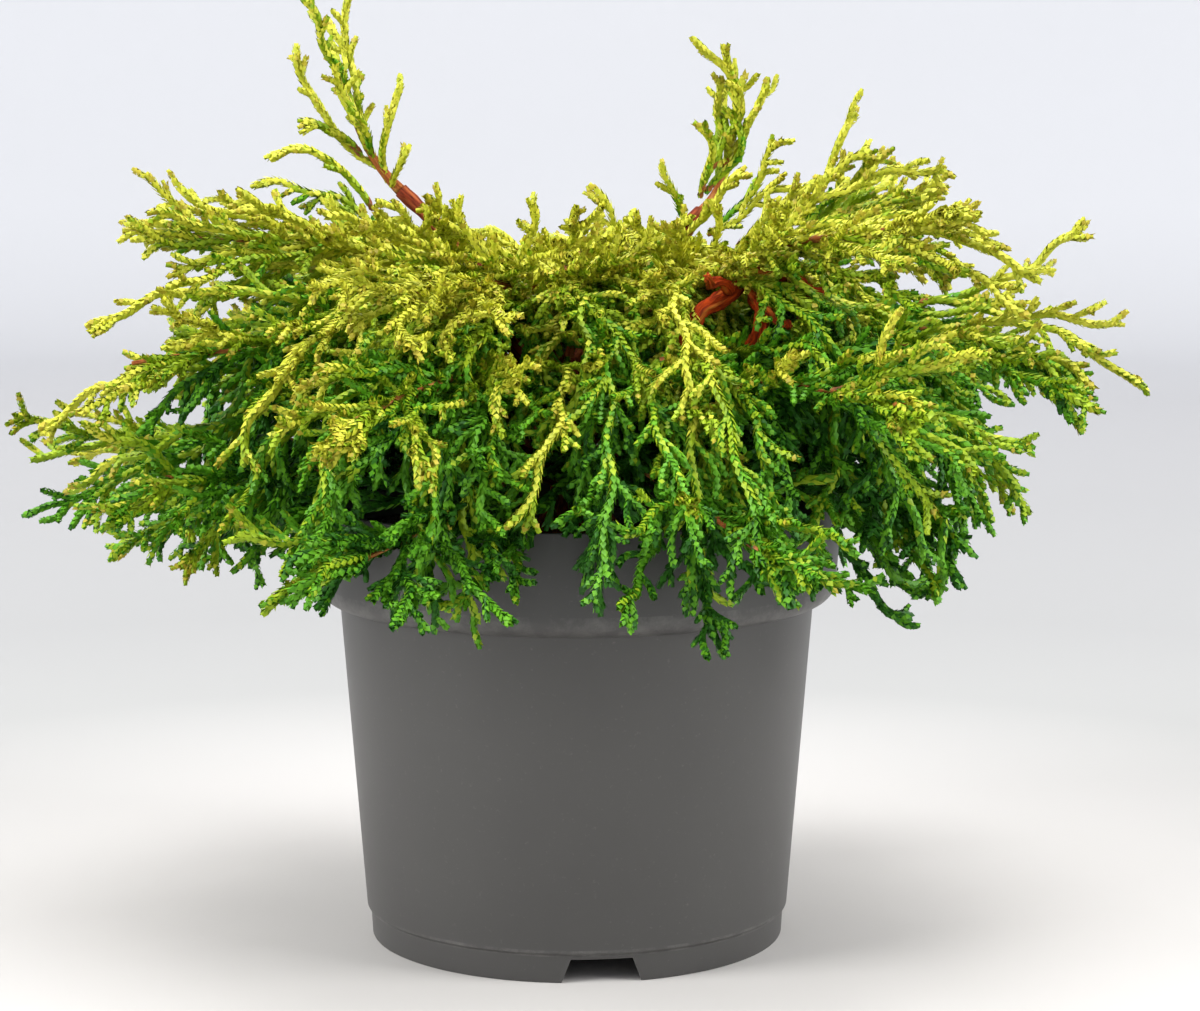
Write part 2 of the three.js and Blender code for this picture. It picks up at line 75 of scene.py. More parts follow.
def add(tree, kind, inputs=None, **settings):
    """Adds a node. Each input takes a value, or the output of another node."""
    node = tree.nodes.new(kind)
    for name, value in settings.items():
        setattr(node, name, value)
    for name, value in (inputs or {}).items():
        if isinstance(value, bpy.types.NodeSocket):
            tree.links.new(value, node.inputs[name])
        else:
            node.inputs[name].default_value = value
    return node


def new_material(name, **surface):
    """A material with one Principled shader. Its plain settings go straight on the shader's sockets."""
    material = bpy.data.materials.new(name)
    material.use_nodes = True
    shader = material.node_tree.nodes["Principled BSDF"]
    for socket, value in surface.items():
        shader.inputs[socket.replace("_", " ")].default_value = value
    return material, material.node_tree, shader


# Sockets of the Mix node when it mixes colours, which share their names with those for numbers.
MIX_A, MIX_B, MIX_RESULT = 6, 7, 2


def on_piece(tree):
    """Where each point lies on its piece, in metres."""
    return add(tree, "ShaderNodeTexCoord").outputs["Object"]


def grains(tree, place, scale, detail, roughness=0.5):
    """Noise from 0 to 1, about as many grains to the metre as the scale says."""
    return add(tree, "ShaderNodeTexNoise", {"Vector": place, "Scale": scale, "Detail": detail,
               "Roughness": roughness}).outputs["Fac"]


def ranged(tree, value, low=0.0, high=1.0, least=0.0, most=1.0):
    """Stretches what lies from low to high, so that it runs from least to most."""
    return add(tree, "ShaderNodeMapRange", {"Value": value, "From Min": low, "From Max": high,
               "To Min": least, "To Max": most}).outputs["Result"]


def mixed(tree, share, first, second):
    """Two colours mixed. Each is 0xRRGGBB, or the output of another node."""
    first, second = (paint(c) if isinstance(c, int) else c for c in (first, second))
    return add(tree, "ShaderNodeMix", {0: share, MIX_A: first, MIX_B: second},
               data_type="RGBA").outputs[MIX_RESULT]


def roughen(tree, shader, height, depth, strength=1.0):
    """Bends the light on a surface as relief of this depth would."""
    bump = add(tree, "ShaderNodeBump", {"Height": height, "Distance": depth, "Strength": strength})
    tree.links.new(bump.outputs["Normal"], shader.inputs["Normal"])


def new_object(name, data):
    """An object in the scene that holds a mesh, a lamp or a camera."""
    thing = bpy.data.objects.new(name, data)
    bpy.context.scene.collection.objects.link(thing)
    return thing


def place_piece(name, mesh, material, nodes):
    """Puts a finished mesh in the scene, where it moves with the plant and stands for solid nodes."""
    piece = new_object(name, mesh)
    mesh.materials.append(material)
    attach(piece, "root")
    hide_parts(*nodes)


# %% [markdown]
# ## Camera, floor and light
#
# The camera looks slightly down on the plant from 1.4 m, with a long lens, so the pot's rim and foot
# show as flat ovals. The floor is a pale sheet that curves up into a wall all round, as photographers
# hang paper, so no edge shows behind the plant from any side. It is a profile spun round the axis.

# %% The camera
CAMERA_PLACE = Vector((10.6, -1400.5, 379.3)) * MM
CAMERA_PITCH = 7.45  # degrees below level
CAMERA_LENS, FILM_WIDTH = 93.3, 36  # both in millimetres, as lenses are named

camera_data = bpy.data.cameras.new("camera")
camera_data.lens = CAMERA_LENS
camera_data.sensor_width = FILM_WIDTH
camera = new_object("camera", camera_data)
camera.location = CAMERA_PLACE
camera.rotation_euler = (math.radians(90 - CAMERA_PITCH), 0, 0)
bpy.context.scene.camera = camera

# %% The paper floor
EASE_SEGMENTS = 2
WELD_DISTANCE = 0.01 * MM


def spun(profile, steps, corners=0.0):
    """Spins a profile of (radius, height) points round the Z axis, its corners eased if asked."""
    bm = bmesh.new()
    verts = [bm.verts.new((radius, 0, height)) for radius, height in profile]
    for first, second in zip(verts, verts[1:]):
        bm.edges.new((first, second))
    if corners:
        inner = [v for v in verts if len(v.link_edges) == 2]
        bmesh.ops.bevel(bm, geom=inner, offset=corners, offset_type="OFFSET", segments=EASE_SEGMENTS,
                        profile=0.5, affect="VERTICES", material=-1)
    bmesh.ops.spin(bm, geom=bm.verts[:] + bm.edges[:], cent=(0, 0, 0), axis=(0, 0, 1),
                   angle=2 * math.pi, steps=steps, use_merge=True)
    bmesh.ops.remove_doubles(bm, verts=bm.verts, dist=WELD_DISTANCE)
    bmesh.ops.recalc_face_normals(bm, faces=bm.faces)
    return bm


FLOOR_RADIUS = 3.2
WALL_CURVE = 1.0
WALL_TOP = 3.2
CURVE_POINTS, FLOOR_STEPS = 12, 96

curve = [(FLOOR_RADIUS + WALL_CURVE * math.sin(turn), WALL_CURVE * (1 - math.cos(turn)))
         for turn in np.linspace(0, math.pi / 2, CURVE_POINTS)]
bm = spun([(0, 0)] + curve + [(FLOOR_RADIUS + WALL_CURVE, WALL_TOP)], FLOOR_STEPS)
floor_mesh = bpy.data.meshes.new("paper_floor")
turned_out = [face for face in bm.faces
              if face.normal.z < 0 or face.normal.xy.dot(face.calc_center_median().xy) > 0]
bmesh.ops.reverse_faces(bm, faces=turned_out)
bm.to_mesh(floor_mesh)
bm.free()
floor_mesh.shade_smooth()
floor = new_object("paper_floor", floor_mesh)

# How far from the pot's middle, in metres, and the paper's tone there, with painted shade where the lamps
# light it most.
PAPER_TONES_WITH_PAINTED_SHADE = [(0.2, 0xC6C3C0), (0.36, 0xB8B6B4), (0.6, 0xA6A6A5), (0.9, 0xA6A6A6), (1.6, 0xB4B4B5),
               (2.6, 0xCCCCCE), (3.8, 0xEBECEF)]


def background_paper():
    """Matte paper with painted shade: toned down on the floor, where the lamps are nearest, so that it
    looks even.
    """
    material, tree, shader = new_material("matte_white_background_paper", Roughness=1.0,
                                          Specular_IOR_Level=0.0)
    far = add(tree, "ShaderNodeVectorMath", {0: on_piece(tree)}, operation="LENGTH").outputs["Value"]
    share = add(tree, "ShaderNodeMath", {0: far, 1: FLOOR_RADIUS + WALL_CURVE}, operation="DIVIDE")
    ramp = add(tree, "ShaderNodeValToRGB", {"Fac": share.outputs[0]})
    stops = ramp.color_ramp.elements
    for number, (metres, tone) in enumerate(PAPER_TONES_WITH_PAINTED_SHADE):
        at = metres / (FLOOR_RADIUS + WALL_CURVE)
        stop = stops[number] if number < len(stops) else stops.new(at)
        stop.position = at
        stop.color = paint(tone)
    tree.links.new(ramp.outputs["Color"], shader.inputs["Base Color"])
    return material


floor_mesh.materials.append(background_paper())

# %% Soft studio light
LAMP_AIM = Vector((0, 0, 0.25))
ROOM_TONE, ROOM_GLOW = 0xF4F5F8, 0.5


def softbox(name, place, size, power):
    """A square lamp that faces the plant. A large one gives soft shadows."""
    data = bpy.data.lights.new(name, "AREA")
    data.size = size
    data.energy = power
    lamp = new_object(name, data)
    lamp.location = place
    lamp.rotation_euler = (LAMP_AIM - Vector(place)).to_track_quat("-Z", "Y").to_euler()


softbox("left_light", (-2.1, -1.0, 1.4), 1.1, 70)
softbox("right_light", (2.2, -0.8, 1.5), 1.3, 66)
softbox("top_light", (0.1, -0.2, 2.5), 1.5, 54)
softbox("back_light", (-0.5, 1.9, 2.2), 1.4, 16)

world = bpy.data.worlds.new("pale_room")
world.use_nodes = True
room = world.node_tree.nodes["Background"].inputs
room["Color"].default_value = paint(ROOM_TONE)
room["Strength"].default_value = ROOM_GLOW
bpy.context.scene.world = world
bpy.context.scene.view_settings.view_transform = "Standard"

# %% [markdown]
# ## The pot
#
# A nursery pot is blown or injected from polypropylene: a thin tapering wall, a wide collar that
# stiffens the rim and ends in a rounded lip, and a foot ring with notches that let water out. All of
# it but the notches is round, so a profile is spun. The notches and the drain holes are cut by a
# Boolean, as a mould would leave them out.

# %% The pot's sizes, in millimetres as in the solid model
RIM_RADIUS, RIM_HEIGHT = 120, 200
COLLAR_FOOT_RADIUS, COLLAR_FOOT_HEIGHT = 118, 154
BODY_TOP_RADIUS = 107.5
SEAM_RADIUS, SEAM_HEIGHT, SEAM_STEP = 96.4, 13.5, 1.6
FOOT_RADIUS, FLOOR_HEIGHT, WALL = 94, 12.5, 2.2
LIP_HEIGHT = 10
NOTCH_AZIMUTH, NOTCH_COUNT, NOTCH_HEIGHT = -83, 3, 10.8
NOTCH_FOOT_WIDTH, NOTCH_TOP_WIDTH = 43, 27
DRAIN_RADIUS, DRAIN_CIRCLE, DRAIN_SIDES = 7, 70, 24
LIP_START, LIP_END, LIP_POINTS = math.radians(12), math.radians(90), 7
POT_STEPS = 160
EDGE_EASE = 0.7
CUT_SPARE = 4  # how far a notch's cutter stands out of the pot
SHARP_ANGLE = math.radians(35)


def pot_profile():
    """From the middle of the floor's underside, out, up, over the rim and down the inside."""
    lip_top = COLLAR_FOOT_HEIGHT + LIP_HEIGHT
    step = COLLAR_FOOT_RADIUS - BODY_TOP_RADIUS
    turns = np.linspace(LIP_START, LIP_END, LIP_POINTS)
    lip = [(BODY_TOP_RADIUS + step * math.sin(t), lip_top - LIP_HEIGHT * math.cos(t)) for t in turns]
    floor_top = FLOOR_HEIGHT + WALL
    return [
        (0, FLOOR_HEIGHT),
        (FOOT_RADIUS - WALL, FLOOR_HEIGHT),
        (FOOT_RADIUS - WALL, 0),
        (FOOT_RADIUS, 0),
        (SEAM_RADIUS - SEAM_STEP, SEAM_HEIGHT - EDGE_EASE),
        (SEAM_RADIUS, SEAM_HEIGHT),
        (BODY_TOP_RADIUS, COLLAR_FOOT_HEIGHT),
        *lip,
        (RIM_RADIUS, RIM_HEIGHT),
        (RIM_RADIUS - WALL, RIM_HEIGHT),
        (COLLAR_FOOT_RADIUS - WALL, lip_top),
        (BODY_TOP_RADIUS - WALL, COLLAR_FOOT_HEIGHT),
        (SEAM_RADIUS - WALL, floor_top),
        (0, floor_top),
    ]


# %% Cut the notches and drains
def pot_cutters():
    """One mesh of all that is cut away: a tapered block for each notch and a rod for each drain."""
    bm = bmesh.new()
    for k in range(NOTCH_COUNT):
        azimuth = math.radians(NOTCH_AZIMUTH + 360 / NOTCH_COUNT * k)
        depth = SEAM_RADIUS - DRAIN_CIRCLE + CUT_SPARE
        size = Matrix.Diagonal((depth, NOTCH_FOOT_WIDTH, 2 * NOTCH_HEIGHT, 1))
        block = bmesh.ops.create_cube(bm, size=1, matrix=size)["verts"]
        for vert in block:
            if vert.co.z > 0:
                vert.co.y *= NOTCH_TOP_WIDTH / NOTCH_FOOT_WIDTH
        bmesh.ops.translate(bm, verts=block, vec=(DRAIN_CIRCLE + depth / 2, 0, 0))
        bmesh.ops.rotate(bm, verts=block, cent=(0, 0, 0), matrix=Matrix.Rotation(azimuth, 4, "Z"))
        midway = azimuth + math.pi / NOTCH_COUNT
        drain = (DRAIN_CIRCLE * math.cos(midway), DRAIN_CIRCLE * math.sin(midway), FLOOR_HEIGHT)
        bmesh.ops.create_cone(bm, cap_ends=True, segments=DRAIN_SIDES, radius1=DRAIN_RADIUS,
                              radius2=DRAIN_RADIUS, depth=4 * WALL, matrix=Matrix.Translation(drain))
    bmesh.ops.recalc_face_normals(bm, faces=bm.faces)
    return bm


def mesh_of(bm, name):
    """Turns a bmesh in millimetres into a mesh in metres."""
    bmesh.ops.scale(bm, vec=(MM, MM, MM), verts=bm.verts)
    mesh = bpy.data.meshes.new(name)
    bm.to_mesh(mesh)
    bm.free()
    return mesh


def cut_away(mesh, cutter_mesh):
    """The mesh with the cutter's shape taken out of it."""
    body, cutter = new_object("body", mesh), new_object("cutter", cutter_mesh)
    modifier = body.modifiers.new("cut", "BOOLEAN")
    modifier.operation = "DIFFERENCE"
    modifier.solver = "EXACT"
    modifier.object = cutter
    depsgraph = bpy.context.evaluated_depsgraph_get()
    result = bpy.data.meshes.new_from_object(body.evaluated_get(depsgraph))
    bpy.data.objects.remove(body)
    bpy.data.objects.remove(cutter)
    return result


pot_mesh = cut_away(mesh_of(spun(pot_profile(), POT_STEPS, corners=EDGE_EASE), "pot_blank"),
                    mesh_of(pot_cutters(), "pot_cutters"))
pot_mesh.name = "moulded_pot"
pot_mesh.shade_smooth()
pot_mesh.set_sharp_from_angle(angle=SHARP_ANGLE)
print("the pot has", len(pot_mesh.polygons), "faces")

# %% [markdown]
# The plastic is polypropylene coloured through with grey, straight from a polished mould. It has a
# satin skin with a very fine grain, is a little dusty, and is rubbed paler on the seam above the foot
# ring, where pots are stacked. A band round the collar's lip is painted paler in the same way, as a
# painted highlight where the rounded lip catches the light. The height on the pot picks out those
# bands, and noise breaks them up.

# %% Grey polypropylene
PLASTIC_SHADES = (0x403F3E, 0x4B4A48)
DUST_TONE, RUBBED_AND_HIGHLIGHT_TONE = 0x7C7974, 0x8B8985
DUST_SHARE, RUBBED_AND_HIGHLIGHT_SHARE = 0.35, 0.4  # at most, where they lie thickest
# Pale bands, as a height and how far it reaches up and down: the rubbed seam, and the middle of the lip,
# where the band is a painted highlight.
RUBBED_AND_HIGHLIGHT_BANDS = [(SEAM_HEIGHT, 1.6), (COLLAR_FOOT_HEIGHT + LIP_HEIGHT / 2, 5)]


def grey_polypropylene():
    material, tree, shader = new_material("grey_moulded_polypropylene", IOR=1.49)
    place = on_piece(tree)
    height = add(tree, "ShaderNodeSeparateXYZ", {"Vector": place}).outputs["Z"]

    # Slow changes of shade over some 60 mm, and dust in specks of about 2 mm.
    slow = grains(tree, place, 16, 3)
    specks = ranged(tree, grains(tree, place, 420, 4, 0.7), 0.62, 0.8, most=DUST_SHARE)
    plastic_colour = mixed(tree, specks, mixed(tree, slow, *PLASTIC_SHADES), DUST_TONE)

    # Pale bands, broken up by noise: rubbed wear on the seam, and a painted highlight round the lip.
    patchy = ranged(tree, grains(tree, place, 95, 5, 0.75), 0.42, 0.8, most=RUBBED_AND_HIGHLIGHT_SHARE)
    for band, width in RUBBED_AND_HIGHLIGHT_BANDS:
        near = add(tree, "ShaderNodeMath", {0: height, 1: band * MM, 2: width * MM}, operation="COMPARE")
        share = add(tree, "ShaderNodeMath", {0: near.outputs[0], 1: patchy}, operation="MULTIPLY")
        plastic_colour = mixed(tree, share.outputs[0], plastic_colour, RUBBED_AND_HIGHLIGHT_TONE)
    tree.links.new(plastic_colour, shader.inputs["Base Color"])
    tree.links.new(ranged(tree, slow, least=0.4, most=0.52), shader.inputs["Roughness"])

    # The mould's grain is finer than the render can show, so it is drawn at 0.7 mm.
    roughen(tree, shader, grains(tree, place, 1400, 2), 0.05 * MM, strength=0.25)
    return material


place_piece("moulded_pot", pot_mesh, grey_polypropylene(), ["pot"])

# %% [markdown]
# ## The potting soil
#
# Potting mix is dark, crumbly and never flat. A spun disc gets its lumps from noise, and loose crumbs
# lie on it: one small stone-like shape, copied many times at different sizes and turns. Copies made
# by arrays of numbers are quick, and all of them become one mesh.

# %% Copies of a small shape, as one mesh
def template(bm):
    """The vertices and faces of a small bmesh, as arrays. All its faces have as many corners."""
    bm.verts.ensure_lookup_table()
    verts = np.array([vert.co for vert in bm.verts])
    faces = np.array([[vert.index for vert in face.verts] for face in bm.faces])
    bm.free()
    return verts, faces


def copies(shape, places, axes):
    """The shape once for each place. axes holds, for each copy, where its x, y and z axes go."""
    verts, faces = shape
    all_verts = places[:, None, :] + np.einsum("vi,nij->nvj", verts, axes)
    all_faces = faces[None] + (np.arange(len(places)) * len(verts))[:, None, None]
    return all_verts.reshape(-1, 3), all_faces.reshape(-1, faces.shape[1])


def joined(name, batches):
    """One mesh, in metres, of several batches of vertices in millimetres and faces."""
    verts = np.concatenate([batch[0] for batch in batches]) * MM
    starts = np.cumsum([0] + [len(batch[0]) for batch in batches])
    corners = np.concatenate([(faces + start).ravel() for (_, faces), start in zip(batches, starts)])
    sides = np.concatenate([np.full(len(faces), faces.shape[1]) for _, faces in batches])
    mesh = bpy.data.meshes.new(name)
    mesh.vertices.add(len(verts))
    mesh.vertices.foreach_set("co", verts.ravel())
    mesh.loops.add(len(corners))
    mesh.loops.foreach_set("vertex_index", corners.astype(np.int32))
    mesh.polygons.add(len(sides))
    mesh.polygons.foreach_set("loop_start", (np.cumsum(sides) - sides).astype(np.int32))
    mesh.update(calc_edges=True)
    mesh.shade_smooth()
    return mesh


# %% Soil and crumbs
SOIL_HEIGHT, SOIL_EDGE_HEIGHT, SOIL_FLAT_RADIUS = 186, 182, 30
SOIL_RADIUS = COLLAR_FOOT_RADIUS - WALL - 0.3
SOIL_BOTTOM = 150
SOIL_RINGS, SOIL_STEPS = 26, 110
SOIL_MARGIN = 1  # lumps stay this far from the soil's edge and its underside
LUMP_WIDTH, LUMP_HEIGHT = 9, 1.6
CRUMBS = 900
CRUMB_SIZES, CRUMB_STRETCH, CRUMB_DENTS = (0.5, 2.8), (0.7, 1.3), 0.35

chance = np.random.default_rng(11)


def soil_height(radius):
    share = max(0.0, (radius - SOIL_FLAT_RADIUS) / (SOIL_RADIUS - SOIL_FLAT_RADIUS))
    return SOIL_HEIGHT + (SOIL_EDGE_HEIGHT - SOIL_HEIGHT) * share


def soil_mesh():
    rings = [(radius, soil_height(radius)) for radius in np.linspace(0, SOIL_RADIUS, SOIL_RINGS)]
    underside = [(BODY_TOP_RADIUS - WALL - SOIL_MARGIN, SOIL_BOTTOM), (0, SOIL_BOTTOM)]
    bm = spun(rings + underside, SOIL_STEPS)
    for vert in bm.verts:
        if vert.co.z > SOIL_BOTTOM + SOIL_MARGIN and vert.co.xy.length < SOIL_RADIUS - SOIL_MARGIN:
            vert.co.z += LUMP_HEIGHT * noise.fractal(vert.co / LUMP_WIDTH, 0.9, 2.2, 4)
    return mesh_of(bm, "potting_soil_top")


def crumb_mesh():
    bm = bmesh.new()
    bmesh.ops.create_icosphere(bm, subdivisions=1, radius=1)
    for vert in bm.verts:
        vert.co *= 1 + CRUMB_DENTS * noise.noise(vert.co * 1.7)
    shape = template(bm)
    radius = SOIL_RADIUS * np.sqrt(chance.uniform(0.01, 0.96, CRUMBS))
    turn = chance.uniform(0, 2 * math.pi, CRUMBS)
    heights = [soil_height(r) for r in radius]
    places = np.stack([radius * np.cos(turn), radius * np.sin(turn), heights], 1)
    sizes = chance.uniform(*CRUMB_STRETCH, (CRUMBS, 3))
    sizes *= chance.gamma(3, 0.35, (CRUMBS, 1)).clip(*CRUMB_SIZES)
    turns = np.linalg.qr(chance.normal(size=(CRUMBS, 3, 3)))[0]
    return joined("soil_crumbs", [copies(shape, places, turns * sizes[:, :, None])])


# %% [markdown]
# Moist potting mix is bark fines and peat: nearly black where it is wet, brown on the dry crumbs, and
# without gloss. Noise as fine as a crumb mixes the two browns and roughens the light.

# %% Dark potting mix
def potting_mix(name, dark, pale):
    material, tree, shader = new_material(name, Roughness=0.95)
    bits = grains(tree, on_piece(tree), 500, 5, 0.7)
    brown = mixed(tree, ranged(tree, bits, 0.42, 0.66), dark, pale)
    tree.links.new(brown, shader.inputs["Base Color"])
    roughen(tree, shader, bits, 0.8 * MM)
    return material


peat = potting_mix("moist_peat", 0x14100D, 0x2E241B)
bark_fines = potting_mix("dry_bark_fines", 0x1D1611, 0x4A3826)
place_piece("potting_soil_top", soil_mesh(), peat, ["potting_soil"])
place_piece("soil_crumbs", crumb_mesh(), bark_fines, ["potting_soil"])

# %% [markdown]
# ## The growing rule
#
# This is the rule by which the solid model grew: whorls of masses round a leaning trunk, each with a
# bough and a stem, strayed a little by seeded numbers. The same seeds give the same stems here. All
# of it is worked out in millimetres with arrays, and only the meshes are in metres.

# %% Seeded numbers and bends
SEED = 41
UP = np.array([0.0, 0.0, 1.0])


def seeded_numbers(seed):
    """Numbers from 0 to 1 that are the same on every run, and the same as the solid model's."""
    state = seed

    def draw():
        nonlocal state
        state = (state * 1664525 + 1013904223) % 2**32
        return state / 2**32

    return draw


def unit(vectors):
    return vectors / np.linalg.norm(vectors, axis=-1, keepdims=True)


def lerp(first, last, share):
    return first + (last - first) * share


def chooser(draw):
    """A function that draws a number between two others."""
    return lambda low, high: lerp(low, high, draw())


def strides(line):
    """The distance from each point of a line to the next."""
    return np.linalg.norm(np.diff(line, axis=0), axis=1)


def reach_along(line):
    """How far along a line each of its points lies."""
    return np.concatenate([[0], np.cumsum(strides(line))])


def polar(radius, azimuth, height):
    turn = math.radians(azimuth)
    return np.array([radius * math.cos(turn), radius * math.sin(turn), height])


def on_bend(bend, share):
    """Points on a bend, which is a start, a knee that it is drawn to, and an end."""
    start, knee, end = bend
    share = np.asarray(share, float)[..., None]
    return (1 - share) ** 2 * start + 2 * share * (1 - share) * knee + share**2 * end


def heading(bend, share):
    """Which way a bend runs at each share of it."""
    start, knee, end = bend
    share = np.asarray(share, float)[..., None]
    return unit((1 - share) * (knee - start) + share * (end - knee))


# %% The masses and their places
GAP = 0.3
TRUNK_HEIGHT, TRUNK_LEAN, TRUNK_BEND = 76, 7, 1.5
TRUNK_RADIUS, TRUNK_TIP_RADIUS = 11.5, 8.5
CROWN_HALF_WIDTH, CROWN_HALF_DEPTH = 262, 230
STEM_KNEE = 0.45
CREST_STEP = 4.6
STEM_STEPS = 4
STRAY = dict(leaves=1.5, azimuth=4, tip_radius=6, tip_height=5, reach_radius=10, reach_height=9)

# tip and reach are (radius, height): where a mass's bough ends, and where its stem ends.
WHORLS = [
    dict(name="skirt", count=9, azimuth=10, leaves=17, tip=(70, 224), reach=(226, 190), lift=14,
         sprays=7, spray_length=88, sag=0.7),
    dict(name="shoulder", count=8, azimuth=28, leaves=33, tip=(58, 258), reach=(220, 254), lift=12,
         sprays=7, spray_length=86, sag=0.6),
    dict(name="brow", count=6, azimuth=16, leaves=47, tip=(40, 280), reach=(170, 318), lift=6,
         sprays=7, spray_length=82, sag=0.35),
    dict(name="crest", count=3, azimuth=106, leaves=TRUNK_HEIGHT - 4, tip=None, reach=(60, 294), lift=0,
         sprays=6, spray_length=60, sag=0.45),
    dict(name="leader_left", count=1, azimuth=165, leaves=62, tip=(84, 338), reach=(90, 395), lift=12,
         sprays=5, spray_length=56, sag=0.05, narrow=0.6, wood=0.45),
    dict(name="leader_right", count=1, azimuth=46, leaves=62, tip=(76, 330), reach=(78, 364), lift=12,
         sprays=5, spray_length=54, sag=0.05, narrow=0.6, wood=0.45),
]

# The crown isn't even: these masses reach further or less far than the rest of their whorl, or
# end higher or lower.
UNEVEN = dict(
    skirt_1=dict(reach=(144, 218), spray_length=60),
    skirt_5=dict(reach=(202, 232), sag=0.25),
    skirt_6=dict(reach=(186, 224), sag=0.25),
    skirt_9=dict(reach=(160, 206), spray_length=76),
    shoulder_1=dict(reach=(230, 252)),
    shoulder_4=dict(reach=(180, 266)),
    brow_1=dict(reach=(146, 338), sag=0.1),
    brow_2=dict(reach=(156, 296)),
    brow_3=dict(reach=(160, 292)),
    brow_4=dict(reach=(154, 322), sag=0.2),
    brow_5=dict(reach=(160, 298)),
)


def trunk_point(height):
    """The trunk's middle line, at a height above the soil."""
    share = height / TRUNK_HEIGHT
    sway = math.sin(share * math.radians(270))
    return np.array([-TRUNK_LEAN * share + TRUNK_BEND * sway,
                     TRUNK_BEND * (2 * share * share - sway), SOIL_HEIGHT + GAP + height])


def plan_mass(whorl, k, index):
    """One mass of a whorl, with its bough, its stem and its own seeded strays."""
    name = whorl["name"] + (f"_{k + 1}" if whorl["count"] > 1 else "")
    whorl = dict(whorl, **UNEVEN.get(name, {}))
    draw = seeded_numbers(SEED * (index + 1))

    def stray(size):
        return size * (2 * draw() - 1)

    start = trunk_point(whorl["leaves"] + stray(STRAY["leaves"]))
    azimuth = whorl["azimuth"] + 360 / whorl["count"] * k + stray(STRAY["azimuth"])
    reach_radius = whorl["reach"][0] + stray(STRAY["reach_radius"])
    reach_azimuth = azimuth + stray(STRAY["azimuth"])
    reach = polar(reach_radius, reach_azimuth, whorl["reach"][1] + stray(STRAY["reach_height"]))
    reach[0] *= CROWN_HALF_WIDTH / CROWN_HALF_DEPTH
    bough, along, foot = None, UP, start + polar(CREST_STEP, azimuth, 0)
    if whorl["tip"]:
        tip_radius = whorl["tip"][0] + stray(STRAY["tip_radius"])
        tip = polar(tip_radius, azimuth, whorl["tip"][1] + stray(STRAY["tip_height"]))
        bough = (start, (start + tip) / 2 + UP * whorl["lift"], tip)
        along = heading(bough, 1)
        foot = tip + along * GAP
    stem = (foot, foot + along * STEM_KNEE * np.linalg.norm(foot - reach), reach)
    return dict(whorl, name=name, index=index, stray=stray, bough=bough, stem=stem)


plans = []
for whorl in WHORLS:
    for k in range(whorl["count"]):
        plans.append(plan_mass(whorl, k, len(plans)))
print(len(plans), "masses, the last one's stem ends at", plans[-1]["stem"][2].round(1))

# %% [markdown]
# A mass keeps to the room that lies nearer to its own stem than to any other, stays clear of the
# limbs and the pot, and never leaves an oval seen from above. Every new cord is tested for this at
# points along it. Distances from many points to many straight pieces are one sum with arrays.


# %% Who has room where
def pieces_of(bend, steps):
    """The straight pieces that a bend is tested as: their starts and their ends."""
    points = on_bend(bend, np.linspace(0, 1, steps + 1))
    return points[:-1], points[1:]


def distances(points, starts, ends):
    """From each point to each straight piece."""
    span = ends - starts
    towards = points[:, None, :] - starts
    share = np.clip((towards * span).sum(-1) / (span * span).sum(-1), 0, 1)
    return np.linalg.norm(towards - share[..., None] * span, axis=-1)


BOUGH_RADIUS, BOUGH_TIP_RADIUS, BOUGH_STEPS = 3.3, 2.7, 3


def joined_pieces(bends, steps):
    """The straight pieces of several bends, one bend after the other."""
    starts, ends = zip(*(pieces_of(bend, steps) for bend in bends))
    return np.concatenate(starts), np.concatenate(ends)


stem_lines = joined_pieces([plan["stem"] for plan in plans], STEM_STEPS)
# A crest has no bough, so its stem counts twice in the lines of boughs and stems.
boughs_and_stems = [bend for plan in plans for bend in (plan["bough"] or plan["stem"], plan["stem"])]
grown_lines = joined_pieces(boughs_and_stems, STEM_STEPS)
bough_starts, bough_ends = joined_pieces([plan["bough"] for plan in plans if plan["bough"]], BOUGH_STEPS)
limb_starts = np.vstack([trunk_point(0), bough_starts])
limb_ends = np.vstack([trunk_point(TRUNK_HEIGHT), bough_ends])
limb_radii = np.array([TRUNK_RADIUS + TRUNK_BEND] + [BOUGH_RADIUS] * len(bough_starts))


def in_bounds(points, radius, reach):
    """Whether cords through these points stay inside the oval and clear of the pot and the limbs."""
    x = points[:, 0] / (CROWN_HALF_WIDTH - radius)
    y = points[:, 1] / (CROWN_HALF_DEPTH - radius)
    if (x * x + y * y >= 1).any():
        return False
    over_rim = points[:, 2] - RIM_HEIGHT - radius > GAP
    beside_rim = np.hypot(points[:, 0], points[:, 1]) - RIM_RADIUS - radius > GAP
    if not (over_rim | beside_rim).all():
        return False
    return bool((distances(points, limb_starts, limb_ends) > limb_radii + reach).all())


def in_own_room(points, index, lines, reach):
    """Whether the points are nearer to their own mass's lines than to any other's, by twice the reach."""
    away = distances(points, *lines).reshape(len(points), len(plans), -1).min(-1)
    own = away[:, index].copy()
    away[:, index] = np.inf
    return bool(((away.min(1) - own) / 2 > reach).all())


# %% [markdown]
# A spray is a flat sheet that hangs down under its own weight. Everything on it is laid out flat
# first, in millimetres along and across, and then carried to where the sheet lies. The first sprays
# are the solid model's own, at the same places, so the fine cords fill the same room.

